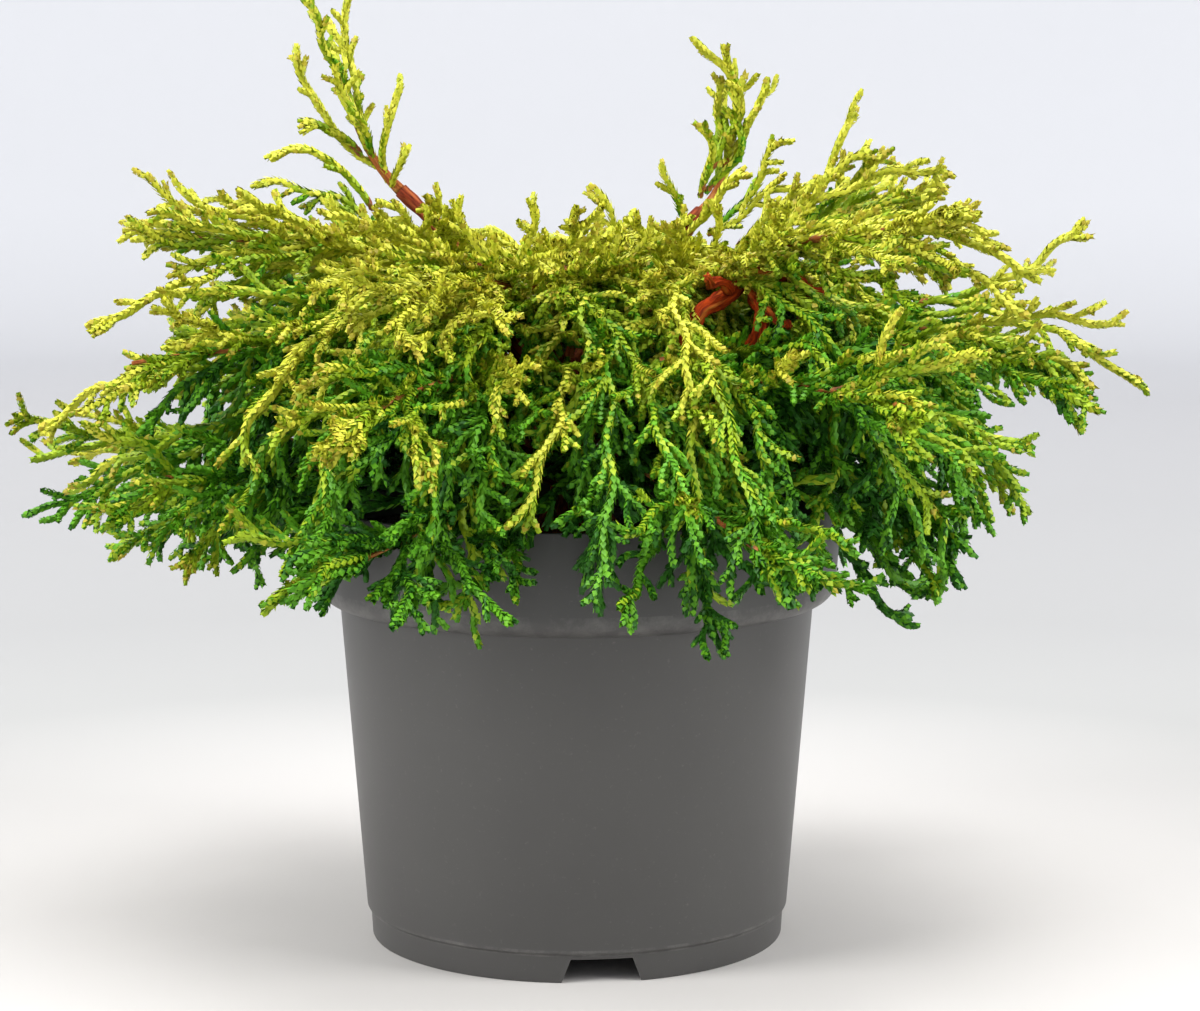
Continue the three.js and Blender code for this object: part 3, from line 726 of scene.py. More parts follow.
# %% Sheets for the sprays
GOLDEN_ANGLE = 137.50776
SPRAY_FLATNESS = 0.75
CORD_WIDTH, CORD_THICKNESS, CORD_CLUB, CORD_SPACING = 8.5, 3.6, 1.1, 0.8
SPRAY_ANGLES, SPRAY_ANGLE_STRAY, SPRAY_TURN_STRAY, SPRAY_ROLL = (64, 16), 9, 20, 55
SPRAY_TAPER, SPRAY_LENGTH_STRAY, SAG_STRAY = (1.05, 0.75), 0.15, 0.5
SPRAY_OPENING, LENGTH_PER_CORD, SHORTEST_CORD = math.radians(40), 16, 14
CORD_PLACES, CORD_LENGTHS, CORD_SIZES = (0.2, 0.37, 0.54, 0.71), (0.72, 0.34), (1, 0.75, 0.55)
TRIES = [(size, turn) for size in (1, 0.75, 0.55, 0.4) for turn in (0, 120, 240)]
FREE_FOOT, FIRST_SPRAY, FIRST_CREST_SPRAY, LAST_SPRAY_SHARE, TEST_STEP = 0.2, 9, 20, 0.97, 4
LENGTH_POINTS = 201  # on a stem whose length is measured
SOLID_RADIUS = math.hypot(CORD_WIDTH * CORD_CLUB, CORD_THICKNESS) / 2
SOLID_REACH = math.hypot(SOLID_RADIUS, TEST_STEP / 2) + GAP


def make_sheet(start, along, roll, length, sag):
    """A sheet from its start, straight on for half its length and then bent down by its sag."""
    knee = start + along * length / 2
    onward = unit(along - UP * sag)
    side = unit(np.cross(along, UP))
    flat = side * math.cos(roll) + np.cross(side, along) * math.sin(roll)
    return dict(bend=(start, knee, knee + onward * length / 2), length=length, flat=flat)


def on_sheet(sheet, u, v, w=0.0):
    """Carries points of the flat sheet to where they lie, and says which way is through the sheet."""
    share = np.clip(u / sheet["length"], 0, 1)
    tangent = heading(sheet["bend"], share)
    across = unit(sheet["flat"] - tangent * (tangent @ sheet["flat"])[:, None])
    through = np.cross(tangent, across)
    past_end = np.maximum(u - sheet["length"], 0)
    at = on_bend(sheet["bend"], share) + tangent * past_end[:, None]
    return at + across * np.asarray(v)[..., None] + through * np.asarray(w)[..., None], through


def flat_line(start, end):
    """The points of a straight line on the flat sheet that are tested for room."""
    count = max(1, math.ceil(math.dist(start, end) / TEST_STEP))
    share = np.linspace(0, 1, count + 1)
    return lerp(start[0], end[0], share), lerp(start[1], end[1], share)


def opened_from(stem_along, opening, turn):
    """A direction that opens from the stem's, turned round it from its level side."""
    side = unit(np.cross(stem_along, UP))
    over = np.cross(side, stem_along)
    across = unit(side * math.cos(turn) + over * SPRAY_FLATNESS * math.sin(turn))
    return stem_along * math.cos(opening) + across * math.sin(opening)


# %% The solid model's sprays
def solid_fits(points, index, others, free=0):
    """The solid model's test: in bounds, in its own room, and past a free stretch clear of the others."""
    if not in_bounds(points, SOLID_RADIUS, SOLID_REACH) or \
            not in_own_room(points, index, stem_lines, SOLID_REACH):
        return False
    tested = points[free:]
    if not others or not len(tested):
        return True
    starts = np.concatenate([line[:-1] for line in others])
    ends = np.concatenate([line[1:] for line in others])
    return bool((distances(tested, starts, ends) > CORD_SPACING * CORD_WIDTH).all())


def side_lines(sheet, index, lines):
    """The solid model's side cords on a sheet, which the next sprays have to stay clear of."""
    length = sheet["length"]
    found = []
    for k in range(min(len(CORD_PLACES), int(length // LENGTH_PER_CORD))):
        at = length * CORD_PLACES[k]
        side = 1 if k % 2 == 0 else -1
        full = length * lerp(*CORD_LENGTHS, k / len(CORD_PLACES))
        for size in (share * full for share in CORD_SIZES):
            tip = (at + size * math.cos(SPRAY_OPENING), side * size * math.sin(SPRAY_OPENING))
            if size < SHORTEST_CORD or tip[0] > length:
                continue
            line, _ = on_sheet(sheet, *flat_line((at, 0), tip))
            if solid_fits(line, index, lines):
                found.append(line)
                break
    return found


def solid_sprays(plan):
    """The sheets of a mass's sprays, in the order and by the rule of the solid model."""
    stray, stem, index = plan["stray"], plan["stem"], plan["index"]
    stem_length = strides(on_bend(stem, np.linspace(0, 1, LENGTH_POINTS))).sum()
    first = (FIRST_SPRAY if plan["bough"] else FIRST_CREST_SPRAY) / stem_length
    sheets, lines = [], []
    for k in range(plan["sprays"]):
        share = lerp(first, LAST_SPRAY_SHARE, k / (plan["sprays"] - 1))
        turn = GOLDEN_ANGLE * k + stray(SPRAY_TURN_STRAY)
        angle = plan.get("narrow", 1) * lerp(*SPRAY_ANGLES, share)
        opening = math.radians(angle + stray(SPRAY_ANGLE_STRAY))
        roll = math.radians(stray(SPRAY_ROLL))
        sag = plan["sag"] * (1 + stray(SAG_STRAY))
        full = plan["spray_length"] * lerp(*SPRAY_TAPER, share) * (1 + stray(SPRAY_LENGTH_STRAY))
        for size, turned in TRIES:
            along = opened_from(heading(stem, share), opening, math.radians(turn + turned))
            sheet = make_sheet(on_bend(stem, share), along, roll, full * size, sag)
            line, _ = on_sheet(sheet, *flat_line((0, 0), (full * size, 0)))
            if solid_fits(line, index, lines, free=math.ceil(FREE_FOOT * len(line))):
                lines += [line] + side_lines(sheet, index, lines)
                sheets.append(sheet)
                break
    return sheets


for plan in plans:
    plan["sheets"] = solid_sprays(plan)
print("sprays of the solid model:", sum(len(plan["sheets"]) for plan in plans))

# %% [markdown]
# Between them come more sprays by the same rule, closer together, because a real mass has many more
# than the solid model. Those nearest the trunk grow on the boughs and close the crown's middle. Two
# kinds take turns: a whip is long with short side cords, and a fan is wide. They may cross the border
# to the next mass a little, so that no seam shows between masses. The crown's outline isn't even
# either: a few masses keep in a little, bays part others, and two windows let the old wood show.

# %% More sprays between them
FINE_RADIUS = 2.4
FINE_REACH = FINE_RADIUS + GAP
BORDER_CROSSING = 15
ON_BOUGH = 0.7  # the share of a bough, from its tip inwards, that bears sprays
EXTRA_SPRAYS = dict(skirt=24, shoulder=28, brow=28, crest=24, leader_left=0, leader_right=1)
SAG_SPREAD = (-0.2, 1.5)
WHIPS_PER_FAN, WHIP_STRETCH = 2, 1.2
FIRST_EXTRA, LAST_EXTRA, EXTRA_LENGTHS = 0.05, 0.98, (0.75, 1.1)  # as shares of stem and spray_length
EXTRA_OPENING, EXTRA_OPENING_STRAY, EXTRA_TURN_STRAY = 0.85, 14, 30
BOUGH_FOOT = 0.3  # the share of a bough's spray that may touch a limb
FREE_CORD_ROOM = ((-262, -230, 150), (262, 230, 430))
ROOM_MARGIN = 3

# Bays in the crown's outline, which only the long cords cross: the two corners of a block of room.
BAYS = [((-262, -230, 256), (-192, 230, 314)), ((222, -230, 236), (262, 230, 282)),
        ((172, -230, 318), (262, 230, 430)), ((170, -230, 150), (262, 230, 234))]

# The masses whose fine cords keep further in than their solids: how low and high, and how far left
# or right, they go.
TRIMMED = dict(
    skirt_5=dict(low=168), skirt_6=dict(low=180, left=-205), skirt_7=dict(low=170),
    skirt_9=dict(right=188), shoulder_5=dict(left=-212), brow_2=dict(high=316), brow_3=dict(high=322),
    brow_4=dict(left=-196), brow_5=dict(high=338), brow_6=dict(high=338),
    crest_1=dict(high=306), crest_2=dict(high=306), crest_3=dict(high=306),
)

for plan in plans:
    low, high = (np.array(corner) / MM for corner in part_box("foliage_" + plan["name"]))
    trim = TRIMMED.get(plan["name"], {})
    least = [trim.get("left", -CROWN_HALF_WIDTH), -CROWN_HALF_DEPTH, trim.get("low", low[2] - ROOM_MARGIN)]
    most = [trim.get("right", CROWN_HALF_WIDTH), CROWN_HALF_DEPTH, trim.get("high", high[2] + ROOM_MARGIN)]
    plan["kind"] = plan["name"].rstrip("_0123456789")
    plan["fine_room"] = (least, most)

# Windows in the foliage where the wood shows: the two ends of each one's middle line, and its radius.
WINDOWS = [((62, -86, 293), (58, -176, 300), 13), ((-94, 14, 350), (-94, -40, 354), 10)]
window_starts, window_ends = (np.array([window[k] for window in WINDOWS], float) for k in (0, 1))
window_radii = np.array([window[2] for window in WINDOWS])


def fine_fits(points, index, foot=0):
    """The test for a fine cord, which may touch a limb along its foot. index is None on a free cord."""
    least, most = FREE_CORD_ROOM if index is None else plans[index]["fine_room"]
    if (points < least).any() or (points > most).any():
        return False
    if index is not None and any(((points > low) & (points < high)).all(1).any() for low, high in BAYS):
        return False
    if (distances(points[foot:], window_starts, window_ends) < window_radii).any():
        return False
    inside = in_bounds(points[foot:], FINE_RADIUS, FINE_REACH)
    return inside and (index is None or
                       in_own_room(points, index, grown_lines, FINE_REACH - BORDER_CROSSING))


def extra_sprays(plan):
    """More sheets for a mass, each turned or shortened until it has room."""
    draw = seeded_numbers(SEED * (plan["index"] + 1) + 7)
    between = chooser(draw)
    count = EXTRA_SPRAYS[plan["kind"]]
    first = -ON_BOUGH if plan["bough"] and plan["count"] > 1 else FIRST_EXTRA
    sheets = []
    for k in range(count):
        share = lerp(first, LAST_EXTRA, (k + draw()) / count)
        limb, at = (plan["stem"], share) if share > 0 else (plan["bough"], 1 + share)
        angle = plan.get("narrow", 1) * lerp(*SPRAY_ANGLES, max(share, 0))
        opening = math.radians(angle * EXTRA_OPENING + between(-EXTRA_OPENING_STRAY, EXTRA_OPENING_STRAY))
        roll = math.radians(between(-SPRAY_ROLL, SPRAY_ROLL))
        turn = GOLDEN_ANGLE * (k + 0.5) + between(-EXTRA_TURN_STRAY, EXTRA_TURN_STRAY)
        whip = k % (WHIPS_PER_FAN + 1) != WHIPS_PER_FAN
        length = plan["spray_length"] * lerp(*SPRAY_TAPER, max(share, 0)) * between(*EXTRA_LENGTHS)
        length *= WHIP_STRETCH if whip else 1
        sag = plan["sag"] * between(*SAG_SPREAD)
        for size, turned in TRIES:
            along = opened_from(heading(limb, at), opening, math.radians(turn + turned))
            sheet = make_sheet(on_bend(limb, at), along, roll, length * size, sag)
            line, _ = on_sheet(sheet, *flat_line((0, 0), (length * size, 0)))
            foot = math.ceil(BOUGH_FOOT * len(line)) if share < 0 else 0
            if fine_fits(line, plan["index"], foot):
                sheets.append(dict(sheet, whip=whip))
                break
    return sheets


for plan in plans:
    for number, sheet in enumerate(plan["sheets"]):
        sheet["whip"] = number % 2 == 0 or plan["kind"].startswith("leader")
    plan["sheets"] += extra_sprays(plan)
print("sprays in all:", sum(len(plan["sheets"]) for plan in plans))

# %% [markdown]
# The longest cords don't keep to one mass. They spring from the crown's top, arch out over the rest
# and hang over the collar, and the eye follows them first. A seeded rule sends rings of them out all
# round, at five levels, so that they close the gaps between the whorls. Each runs on one bend, from
# inside the crown over its shoulder to a low tip. The few that stand out most have places of their
# own: those that hang down the front, those that make the crown's outline, and the tall shoots.

# %% Long weeping cords
# Each ring: how many, and (radius, height) of their start, their knee and their tip.
WEEPER_RINGS = [
    (46, (72, 294), (162, 312), (172, 182)),
    (38, (34, 288), (98, 322), (140, 238)),
    (40, (112, 262), (168, 276), (196, 206)),
    (26, (14, 298), (52, 324), (92, 292)),
    (30, (50, 262), (102, 268), (128, 214)),
]
WEEPER_STRAY = (26, 15)
STEP_STRAY, TURN_STRAY = 0.3, 7  # as a share of the step from one to the next, and in degrees
WEEPER_SIZES, WEEPER_LEANS, LONG_CORD_LEAN = (0.9, 1), (-0.6, 1.2), 0.3
BEND_POINTS = 41  # on a bend whose length is measured

# Cords with their own places, as a start, a knee and a tip.
LONG_CORDS = [
    # down the front, and low at the right
    ((47, -70, 298), (66, -172, 234), (33, -138, 164)),
    ((62, -60, 292), (56, -178, 224), (91, -130, 167)),
    ((-54, -60, 286), (-78, -175, 224), (-40, -137, 173)),
    ((56, -50, 306), (8, -150, 294), (0, -157, 234)),
    ((-46, -75, 278), (-54, -168, 220), (-24, -138, 171)),
    ((-16, -110, 244), (-20, -164, 190), (-71, -139, 166)),
    ((146, -40, 264), (152, -78, 216), (129, -72, 173)),
    ((112, -84, 204), (138, -90, 172), (164, -72, 163)),
    ((112, -90, 198), (124, -90, 159), (169, -90, 154)),
    ((120, -60, 250), (180, -80, 232), (186, -76, 199)),
    ((126, -80, 250), (166, -110, 214), (150, -104, 166)),
    # in front of the right window's foot
    ((96, -66, 286), (112, -120, 262), (104, -118, 222)),
    ((110, -50, 286), (140, -96, 262), (136, -100, 226)),
    ((84, -74, 274), (88, -120, 252), (80, -122, 214)),
    ((80, -20, 318), (126, -52, 318), (136, -58, 264)),
    ((-96, -50, 288), (-150, -96, 280), (-150, -88, 196)),
    ((10, -70, 300), (20, -168, 268), (8, -160, 190)),
    ((-30, -80, 300), (-90, -150, 290), (-96, -150, 214)),
    ((-70, -60, 300), (-130, -130, 284), (-122, -128, 226)),
    # up and out to the right
    ((72, -10, 314), (100, -10, 340), (128, -5, 362)),
    ((70, 0, 310), (110, 0, 322), (115, 0, 382)),
    ((76, -20, 312), (120, -25, 350), (165, -20, 352)),
    ((80, -20, 310), (140, -30, 344), (192, -25, 320)),
    ((150, -30, 290), (205, -22, 296), (226, -15, 330)),
    ((150, -40, 286), (206, -42, 290), (253, -38, 256)),
    ((150, -40, 280), (200, -60, 274), (230, -60, 245)),
    # up and out to the left
    ((-105, -10, 318), (-165, -15, 318), (-184, -18, 354)),
    ((-95, -10, 322), (-152, -15, 322), (-171, -18, 351)),
    ((-110, -60, 290), (-170, -70, 305), (-208, -62, 282)),
    ((-130, -60, 262), (-200, -75, 268), (-236, -64, 242)),
    ((-120, -70, 250), (-180, -80, 240), (-225, -66, 206)),
    # the tall left shoot
    ((-90, 22, 348), (-120, 20, 368), (-130, 15, 404)),
    ((-91, 23, 350), (-104, 25, 385), (-94, 26, 427)),
    ((-86, 20, 342), (-92, 15, 365), (-83, 12, 389)),
    ((-98, 20, 354), (-112, 18, 370), (-126, 10, 372)),
    ((-84, 18, 340), (-80, 12, 354), (-74, 10, 358)),
    # the tall right shoot
    ((60, 54, 336), (94, 58, 372), (48, 50, 404)),
    ((62, 55, 346), (86, 58, 378), (64, 52, 403)),
    ((57, 52, 334), (66, 50, 352), (58, 46, 371)),
    ((54, 48, 322), (36, 42, 332), (40, 36, 350)),
    # round the feet of the two shoots
    ((-92, 6, 330), (-112, 0, 366), (-138, -6, 358)),
    ((-86, 4, 326), (-98, 0, 352), (-120, -4, 366)),
    ((-90, 0, 322), (-116, -10, 344), (-146, -12, 340)),
    ((66, 30, 322), (88, 26, 352), (96, 22, 362)),
    ((60, 20, 318), (84, 10, 344), (112, 6, 344)),
    ((50, 20, 316), (60, 14, 342), (76, 8, 350)),
]


def weeper_sheet(points, lean):
    """A spray round one bend. lean says how its sheet lies: level at 0, on edge above 1."""
    length = strides(on_bend(points, np.linspace(0, 1, BEND_POINTS))).sum()
    outward = unit(points[2] * (1, 1, 0)) + UP * lean
    flat = unit(np.cross(heading(points, 0.5), outward))
    return dict(bend=tuple(points), length=length, flat=flat, whip=True)


def ring_of_weepers(count, places, seed):
    """One ring of weeping cords, each strayed by seeded numbers of its own."""
    sheets = []
    for k in range(count):
        between = chooser(seeded_numbers(seed + k))
        azimuth = -90 + 360 / count * (k + between(-STEP_STRAY, STEP_STRAY))
        size = between(*WEEPER_SIZES)
        points = []
        for radius, height in places:
            radius += between(-1, 1) * WEEPER_STRAY[0]
            height += between(-1, 1) * WEEPER_STRAY[1]
            points.append(polar(radius * size, azimuth + between(-TURN_STRAY, TURN_STRAY), height))
        sheets.append(weeper_sheet(points, between(*WEEPER_LEANS)))
    return sheets


weepers = [weeper_sheet(np.array(points, float), LONG_CORD_LEAN) for points in LONG_CORDS]
for number, (count, *places) in enumerate(WEEPER_RINGS):
    weepers += ring_of_weepers(count, places, SEED * (50 + 7 * number))
print(len(weepers), "weeping cords,", round(min(s["length"] for s in weepers)), "to",
      round(max(s["length"] for s in weepers)), "mm long")

# %% [markdown]
# ## Cords
#
# A spray is a leading cord with side cords mostly to its left and right in turn, and each side cord
# has small ones in the same way. They leave at an acute angle, wind a little and stray out of the
# sheet. A cord is kept as a line of points, with the way through its sheet at each point.

# %% Cords on the sheets
FAN_SPACING, WHIP_SPACING, HEAD_SPACING, SMALL_SPACING = 7.6, 9.6, 5.0, 7.0
HEAD_LENGTH = 17  # the last stretch of a leading cord, where its side cords crowd into a head
SIDE_OPENING, TIP_OPENING = math.radians(38), math.radians(10)
SMALL_OPENING = math.radians(38)
FAN_SIDES, WHIP_SIDES = (0.42, 0.2), (0.2, 0.11)  # side cords as shares of their leading cord
LEADING_SWAY = 0.5  # how far a leading cord turns to its side by its tip, in radians
WIGGLE_LENGTH, WIGGLE_TURN, WIGGLE_LIFT = 34, 0.3, 1.3  # cords wind a little as they grow
BARE_FOOT = 0.2  # the share of a stem's clad stretch that bears no side cords
SHOOT_HEIGHT, SHOOT_SIDES = 362, 0.55  # tall shoots are bare whips, so their side cords are shorter
SAME_SIDE = 0.35  # how often two side cords in a row grow on the same side
LINE_STEP = 2.0
CORD_TRIES = (1, 0.72, 0.5)  # shares of its length that a cord is tried at
FREE_ROWS = 5  # points at a leading cord's foot that may touch a limb
# How far cords bend out of their sheet by their tips, as a share of their length.
LEADING_BOW, SIDE_BOW, SMALL_BOW = 0.16, 0.65, 0.6
COUNTER_SWAY = 0.4  # a leading cord sets off to its other side by this share of its sway
STEM_SWAY = 0.3  # a stem sways less than a cord, by this factor
# Millimetres and shares that draws stay between, for side cords and then for small ones.
FIRST_SIDE, SIDE_LENGTHS, LEAST_SIDE = (6, 12), (0.5, 1.3), (6.5, 13)
SIDE_OPENINGS, SIDE_TURNS = (0.6, 1.5), (-3, 4)
FIRST_SMALL, SMALL_LENGTHS, SMALL_RANGE, SMALL_TURN = (5, 9), (0.35, 0.65), (6.0, 17), 0.6
SPACING_STRAY = (0.7, 1.3)
SHORTEST = dict(stem=20, leading=20, side=6, small=5)
BARE_TIP, SMALL_BARE_TIP = 5, 4  # the last millimetres of a cord, which bear no others
KINDS = dict(
    stem=dict(thickness=4.4, pitch=3.6, leaf=5.2, spread=1.1),
    leading=dict(thickness=3.6, pitch=3.2, leaf=4.6, spread=1.1),
    side=dict(thickness=3.2, pitch=2.7, leaf=3.6, spread=1.05),
    small=dict(thickness=3.0, pitch=2.5, leaf=3.1, spread=1.0),
)


def flat_cord(start, direction, turn_to, length, bow, phase):
    """A cord laid out on the flat sheet: u along it, v across it, and w out of it."""
    count = max(2, math.ceil(length / LINE_STEP))
    share = np.linspace(0, 1, count + 1)
    middle = (share[1:] + share[:-1]) / 2
    wave = 2 * math.pi * (length * share / WIGGLE_LENGTH + phase)
    angle = lerp(direction, turn_to, middle) + WIGGLE_TURN * np.sin(wave[1:])
    step = length / count
    u = start[0] + np.concatenate([[0], np.cumsum(np.cos(angle))]) * step
    v = start[1] + np.concatenate([[0], np.cumsum(np.sin(angle))]) * step
    lift = WIGGLE_LIFT * (np.sin(wave * 0.8) - math.sin(wave[0] * 0.8)) * np.minimum(1, length * share / 10)
    return u, v, start[2] + bow * length * share**2 + lift


def grow_cords(sheet, index, tag, draw):
    """All cords of one spray, each tested for room and shortened until it fits."""
    cords = []
    bare = sheet.get("bare", 0)
    between = chooser(draw)

    def grow(kind, start, direction, turn_to, length, bow, foot=0):
        phase = draw()
        for size in CORD_TRIES:
            if length * size < SHORTEST[kind]:
                return None
            flat = flat_cord(start, direction, turn_to, length * size, bow, phase)
            line, through = on_sheet(sheet, *flat)
            if fine_fits(line[::2], index, foot):
                cords.append(dict(kind=kind, line=line, through=through, spray=tag))
                return flat
        return None

    length = sheet["length"]
    shoot = sheet["bend"][2][2] > SHOOT_HEIGHT
    sway = between(-LEADING_SWAY, LEADING_SWAY) * (STEM_SWAY if bare else 1)
    bow = between(-LEADING_BOW, LEADING_BOW) * (0 if bare else 1)
    leading = grow("stem" if bare else "leading", (0, 0, 0), -COUNTER_SWAY * sway, sway, length, bow,
                   foot=FREE_ROWS)
    if leading is None:
        return cords
    at, side = max(between(*FIRST_SIDE), bare * length), 1 if draw() < 0.5 else -1
    sides, spacing = (WHIP_SIDES, WHIP_SPACING) if sheet["whip"] else (FAN_SIDES, FAN_SPACING)
    while at < length - BARE_TIP:
        share = at / length
        runs = sway * ((1 + COUNTER_SWAY) * share - COUNTER_SWAY)
        full = length * lerp(*sides, share) * between(*SIDE_LENGTHS)
        full *= SHOOT_SIDES if shoot else 1
        opening = SIDE_OPENING * between(*SIDE_OPENINGS)
        flat = grow("side", part_way(leading, share), runs + side * opening,
                    runs + side * TIP_OPENING * between(*SIDE_TURNS), max(full, between(*LEAST_SIDE)),
                    between(-SIDE_BOW, SIDE_BOW))
        if flat is not None:
            grow_small(flat, side, full, opening, grow, between)
        at += (HEAD_SPACING if length - at < HEAD_LENGTH else spacing) * between(*SPACING_STRAY)
        side = side if draw() < SAME_SIDE else -side
    return cords


def part_way(flat, share):
    """The point of a flat cord nearest to a share of its length."""
    row = round(min(share, 1) * (len(flat[0]) - 1))
    return tuple(line[row] for line in flat)


def grow_small(flat, side, length, opening, grow, between):
    """The small cords on a side cord."""
    at, turn = between(*FIRST_SMALL), side
    least, most = SMALL_RANGE
    while at < length - SMALL_BARE_TIP:
        runs = side * lerp(opening, TIP_OPENING, at / length)
        full = max(least, (length - at) * between(*SMALL_LENGTHS))
        grow("small", part_way(flat, at / length), runs + turn * SMALL_OPENING,
             runs + turn * TIP_OPENING * SMALL_TURN, min(full, most), between(-SMALL_BOW, SMALL_BOW))
        at += SMALL_SPACING * between(*SPACING_STRAY)
        turn = -turn


# %% Grow them all
CLAD_FROM = 0.12  # the share of a mass's stem past which it is clad in leaves


def stem_sheet(plan):
    """The outer stretch of a stem as a sheet, because the stem itself ends as a leading cord."""
    stem, clad = plan["stem"], plan.get("wood", CLAD_FROM)
    bend = (on_bend(stem, clad), lerp(stem[1], stem[2], clad), stem[2])
    length = strides(on_bend(bend, np.linspace(0, 1, BEND_POINTS))).sum()
    flat = unit(np.cross(bend[2] - bend[0], UP))
    return dict(bend=bend, length=length, flat=flat, whip=True, bare=BARE_FOOT)


cords = []
for plan in plans:
    draw = seeded_numbers(SEED * (plan["index"] + 1) + 29)
    for number, sheet in enumerate([stem_sheet(plan)] + plan["sheets"]):
        cords += grow_cords(sheet, plan["index"], (plan["index"], number), draw)
draw = seeded_numbers(SEED * 51)
for number, sheet in enumerate(weepers):
    cords += grow_cords(sheet, None, ("weeper", number), draw)
lengths = {kind: 0.0 for kind in KINDS}
for cord in cords:
    cord["length"] = strides(cord["line"]).sum()
    lengths[cord["kind"]] += cord["length"] / 1000
print(len(cords), "cords, in metres:", {kind: round(total, 1) for kind, total in lengths.items()})

# %% [markdown]
# ## Light in the crown
#
# This plant is gold where the sun reaches it and dark green where it doesn't. The colours dealt out
# here also carry painted light: the crown's ends and its left side, where the light fell, are painted
# lighter than its front and its right. To deal out colours, the script measures how deep each point
# lies: below the crown's top there, and inside its side. Two coarse maps hold the highest and the
# furthest cord in each cell, and a little smoothing closes holes.

# %% How deep a point lies
CELL = 14.0
MAP_HALF = 20
TURN_CELLS, HEIGHT_CELLS, MAP_FLOOR = 48, 24, 120
SIDE_COVER, SIDE_SHADE = 10, 0.9  # the depth that the crown's side counts for, and how fast it grows
LIGHT_DEPTH = 52.0
SUN_FLOOR, SUN_RISE = 165, 125  # the sun grows from this height, over so many millimetres
LOW_SUN, END_SUN, LEFT_SUN, LEFT_FADE = 0.25, 0.25, 0.22, 0.7
CAP_FLOOR, CAP_RISE = 205, 75  # and so does the most that a point gets, from this height
LEAST_CAP, CAP_GROWTH = 0.46, 0.64
INNER_DEPTH = 46.0  # cords deeper than this hardly show, so their leaves are fewer and larger
INNER_LEAVES = 1.5


def smoothed(grid):
    """Each cell with its neighbours, each counted as much as it is known."""
    known = np.isfinite(grid).astype(float)
    values = np.where(known > 0, grid, 0)
    total, weight = np.zeros_like(grid), np.zeros_like(grid)
    for dx in (-1, 0, 1):
        for dy in (-1, 0, 1):
            total += np.roll(values, (dx, dy), (0, 1))
            weight += np.roll(known, (dx, dy), (0, 1))
    return np.where(weight > 0, total / np.maximum(weight, 1), -np.inf)


def cells_above(points):
    return tuple(np.clip((points[:, :2] // CELL).astype(int) + MAP_HALF, 0, 2 * MAP_HALF - 1).T)


def cells_beside(points):
    turn = (np.arctan2(points[:, 1], points[:, 0]) / (2 * math.pi) + 0.5) * TURN_CELLS
    height = np.clip((points[:, 2] - MAP_FLOOR) // CELL, 0, HEIGHT_CELLS - 1)
    return turn.astype(int) % TURN_CELLS, height.astype(int)


all_points = np.concatenate([cord["line"] for cord in cords])
tops = np.full((2 * MAP_HALF, 2 * MAP_HALF), -np.inf)
np.maximum.at(tops, cells_above(all_points), all_points[:, 2])
sides = np.full((TURN_CELLS, HEIGHT_CELLS), -np.inf)
np.maximum.at(sides, cells_beside(all_points), np.hypot(all_points[:, 0], all_points[:, 1]))
tops, sides = smoothed(tops), smoothed(sides)


def depth_at(points):
    below = np.maximum(tops[cells_above(points)] - points[:, 2], 0)
    inside = np.maximum(sides[cells_beside(points)] - np.hypot(points[:, 0], points[:, 1]), 0)
    return np.minimum(below, SIDE_COVER + SIDE_SHADE * inside)


def light_at(points):
    """From 0, deep in the crown, to about 1, on its outside near the top. Its ends get more than its
    front, and below the top its left, where the sun stood, gets more than its right: that is painted
    light. Low cords get so little that few of their leaves turn gold."""
    height = np.clip((points[:, 2] - SUN_FLOOR) / SUN_RISE, 0, 1)
    end = np.clip(np.abs(points[:, 0]) / CROWN_HALF_WIDTH, 0, 1)
    leftward = LEFT_SUN * (1 - LEFT_FADE * height) * np.clip(-points[:, 0] / CROWN_HALF_WIDTH, -1, 1)
    sun = LOW_SUN + END_SUN * end + (1 - LOW_SUN - END_SUN * end) * height + leftward
    most = LEAST_CAP + CAP_GROWTH * np.clip((points[:, 2] - CAP_FLOOR) / CAP_RISE, 0, 1)
    return np.minimum(np.exp(-depth_at(points) / LIGHT_DEPTH) * sun, most)


# %% [markdown]
# ## Scale leaves
#
# Scale leaves sit in pairs, and each pair is turned a quarter from the one before, so four rows run
# down a cord. A leaf is a pointed scale with a keel: a kite folded along its middle, widest near its
# foot, whose tip stands out from the cord. Leaves are long and stand out on the leading cords, which
# grew fast, and short and close on the small ones, which end in a blunt club.

# %% One leaf and one joint of the core
TIP_OUT, SIDES_OUT, FOOT_OUT = 1.2, 0.62, 0.72  # how far a leaf's corners stand out, in cord radii
SIDES_BACK = 0.14  # how far behind a leaf's middle it is widest, as a share of its length
LEAF_FACES, JOINT_FACES = 2, 6  # counted as triangles


def leaf_shape():
    """x runs along the cord, y out from it and z across, for a leaf of length, height and width 1."""
    bm = bmesh.new()
    bmesh.ops.create_circle(bm, cap_ends=True, segments=4, radius=1)
    ends = [vert for vert in bm.verts if abs(vert.co.x) < 0.5]
    bmesh.ops.connect_verts(bm, verts=ends)
    for vert in bm.verts:
        across, along = vert.co.x, vert.co.y
        out = TIP_OUT if along > 0.5 else FOOT_OUT if along < -0.5 else SIDES_OUT
        vert.co = (0.5 + 0.5 * along - SIDES_BACK * abs(across), out, 0.5 * across)
    bmesh.ops.recalc_face_normals(bm, faces=bm.faces)
    if bm.faces[:][0].normal.y < 0:
        bmesh.ops.reverse_faces(bm, faces=bm.faces)
    return template(bm)


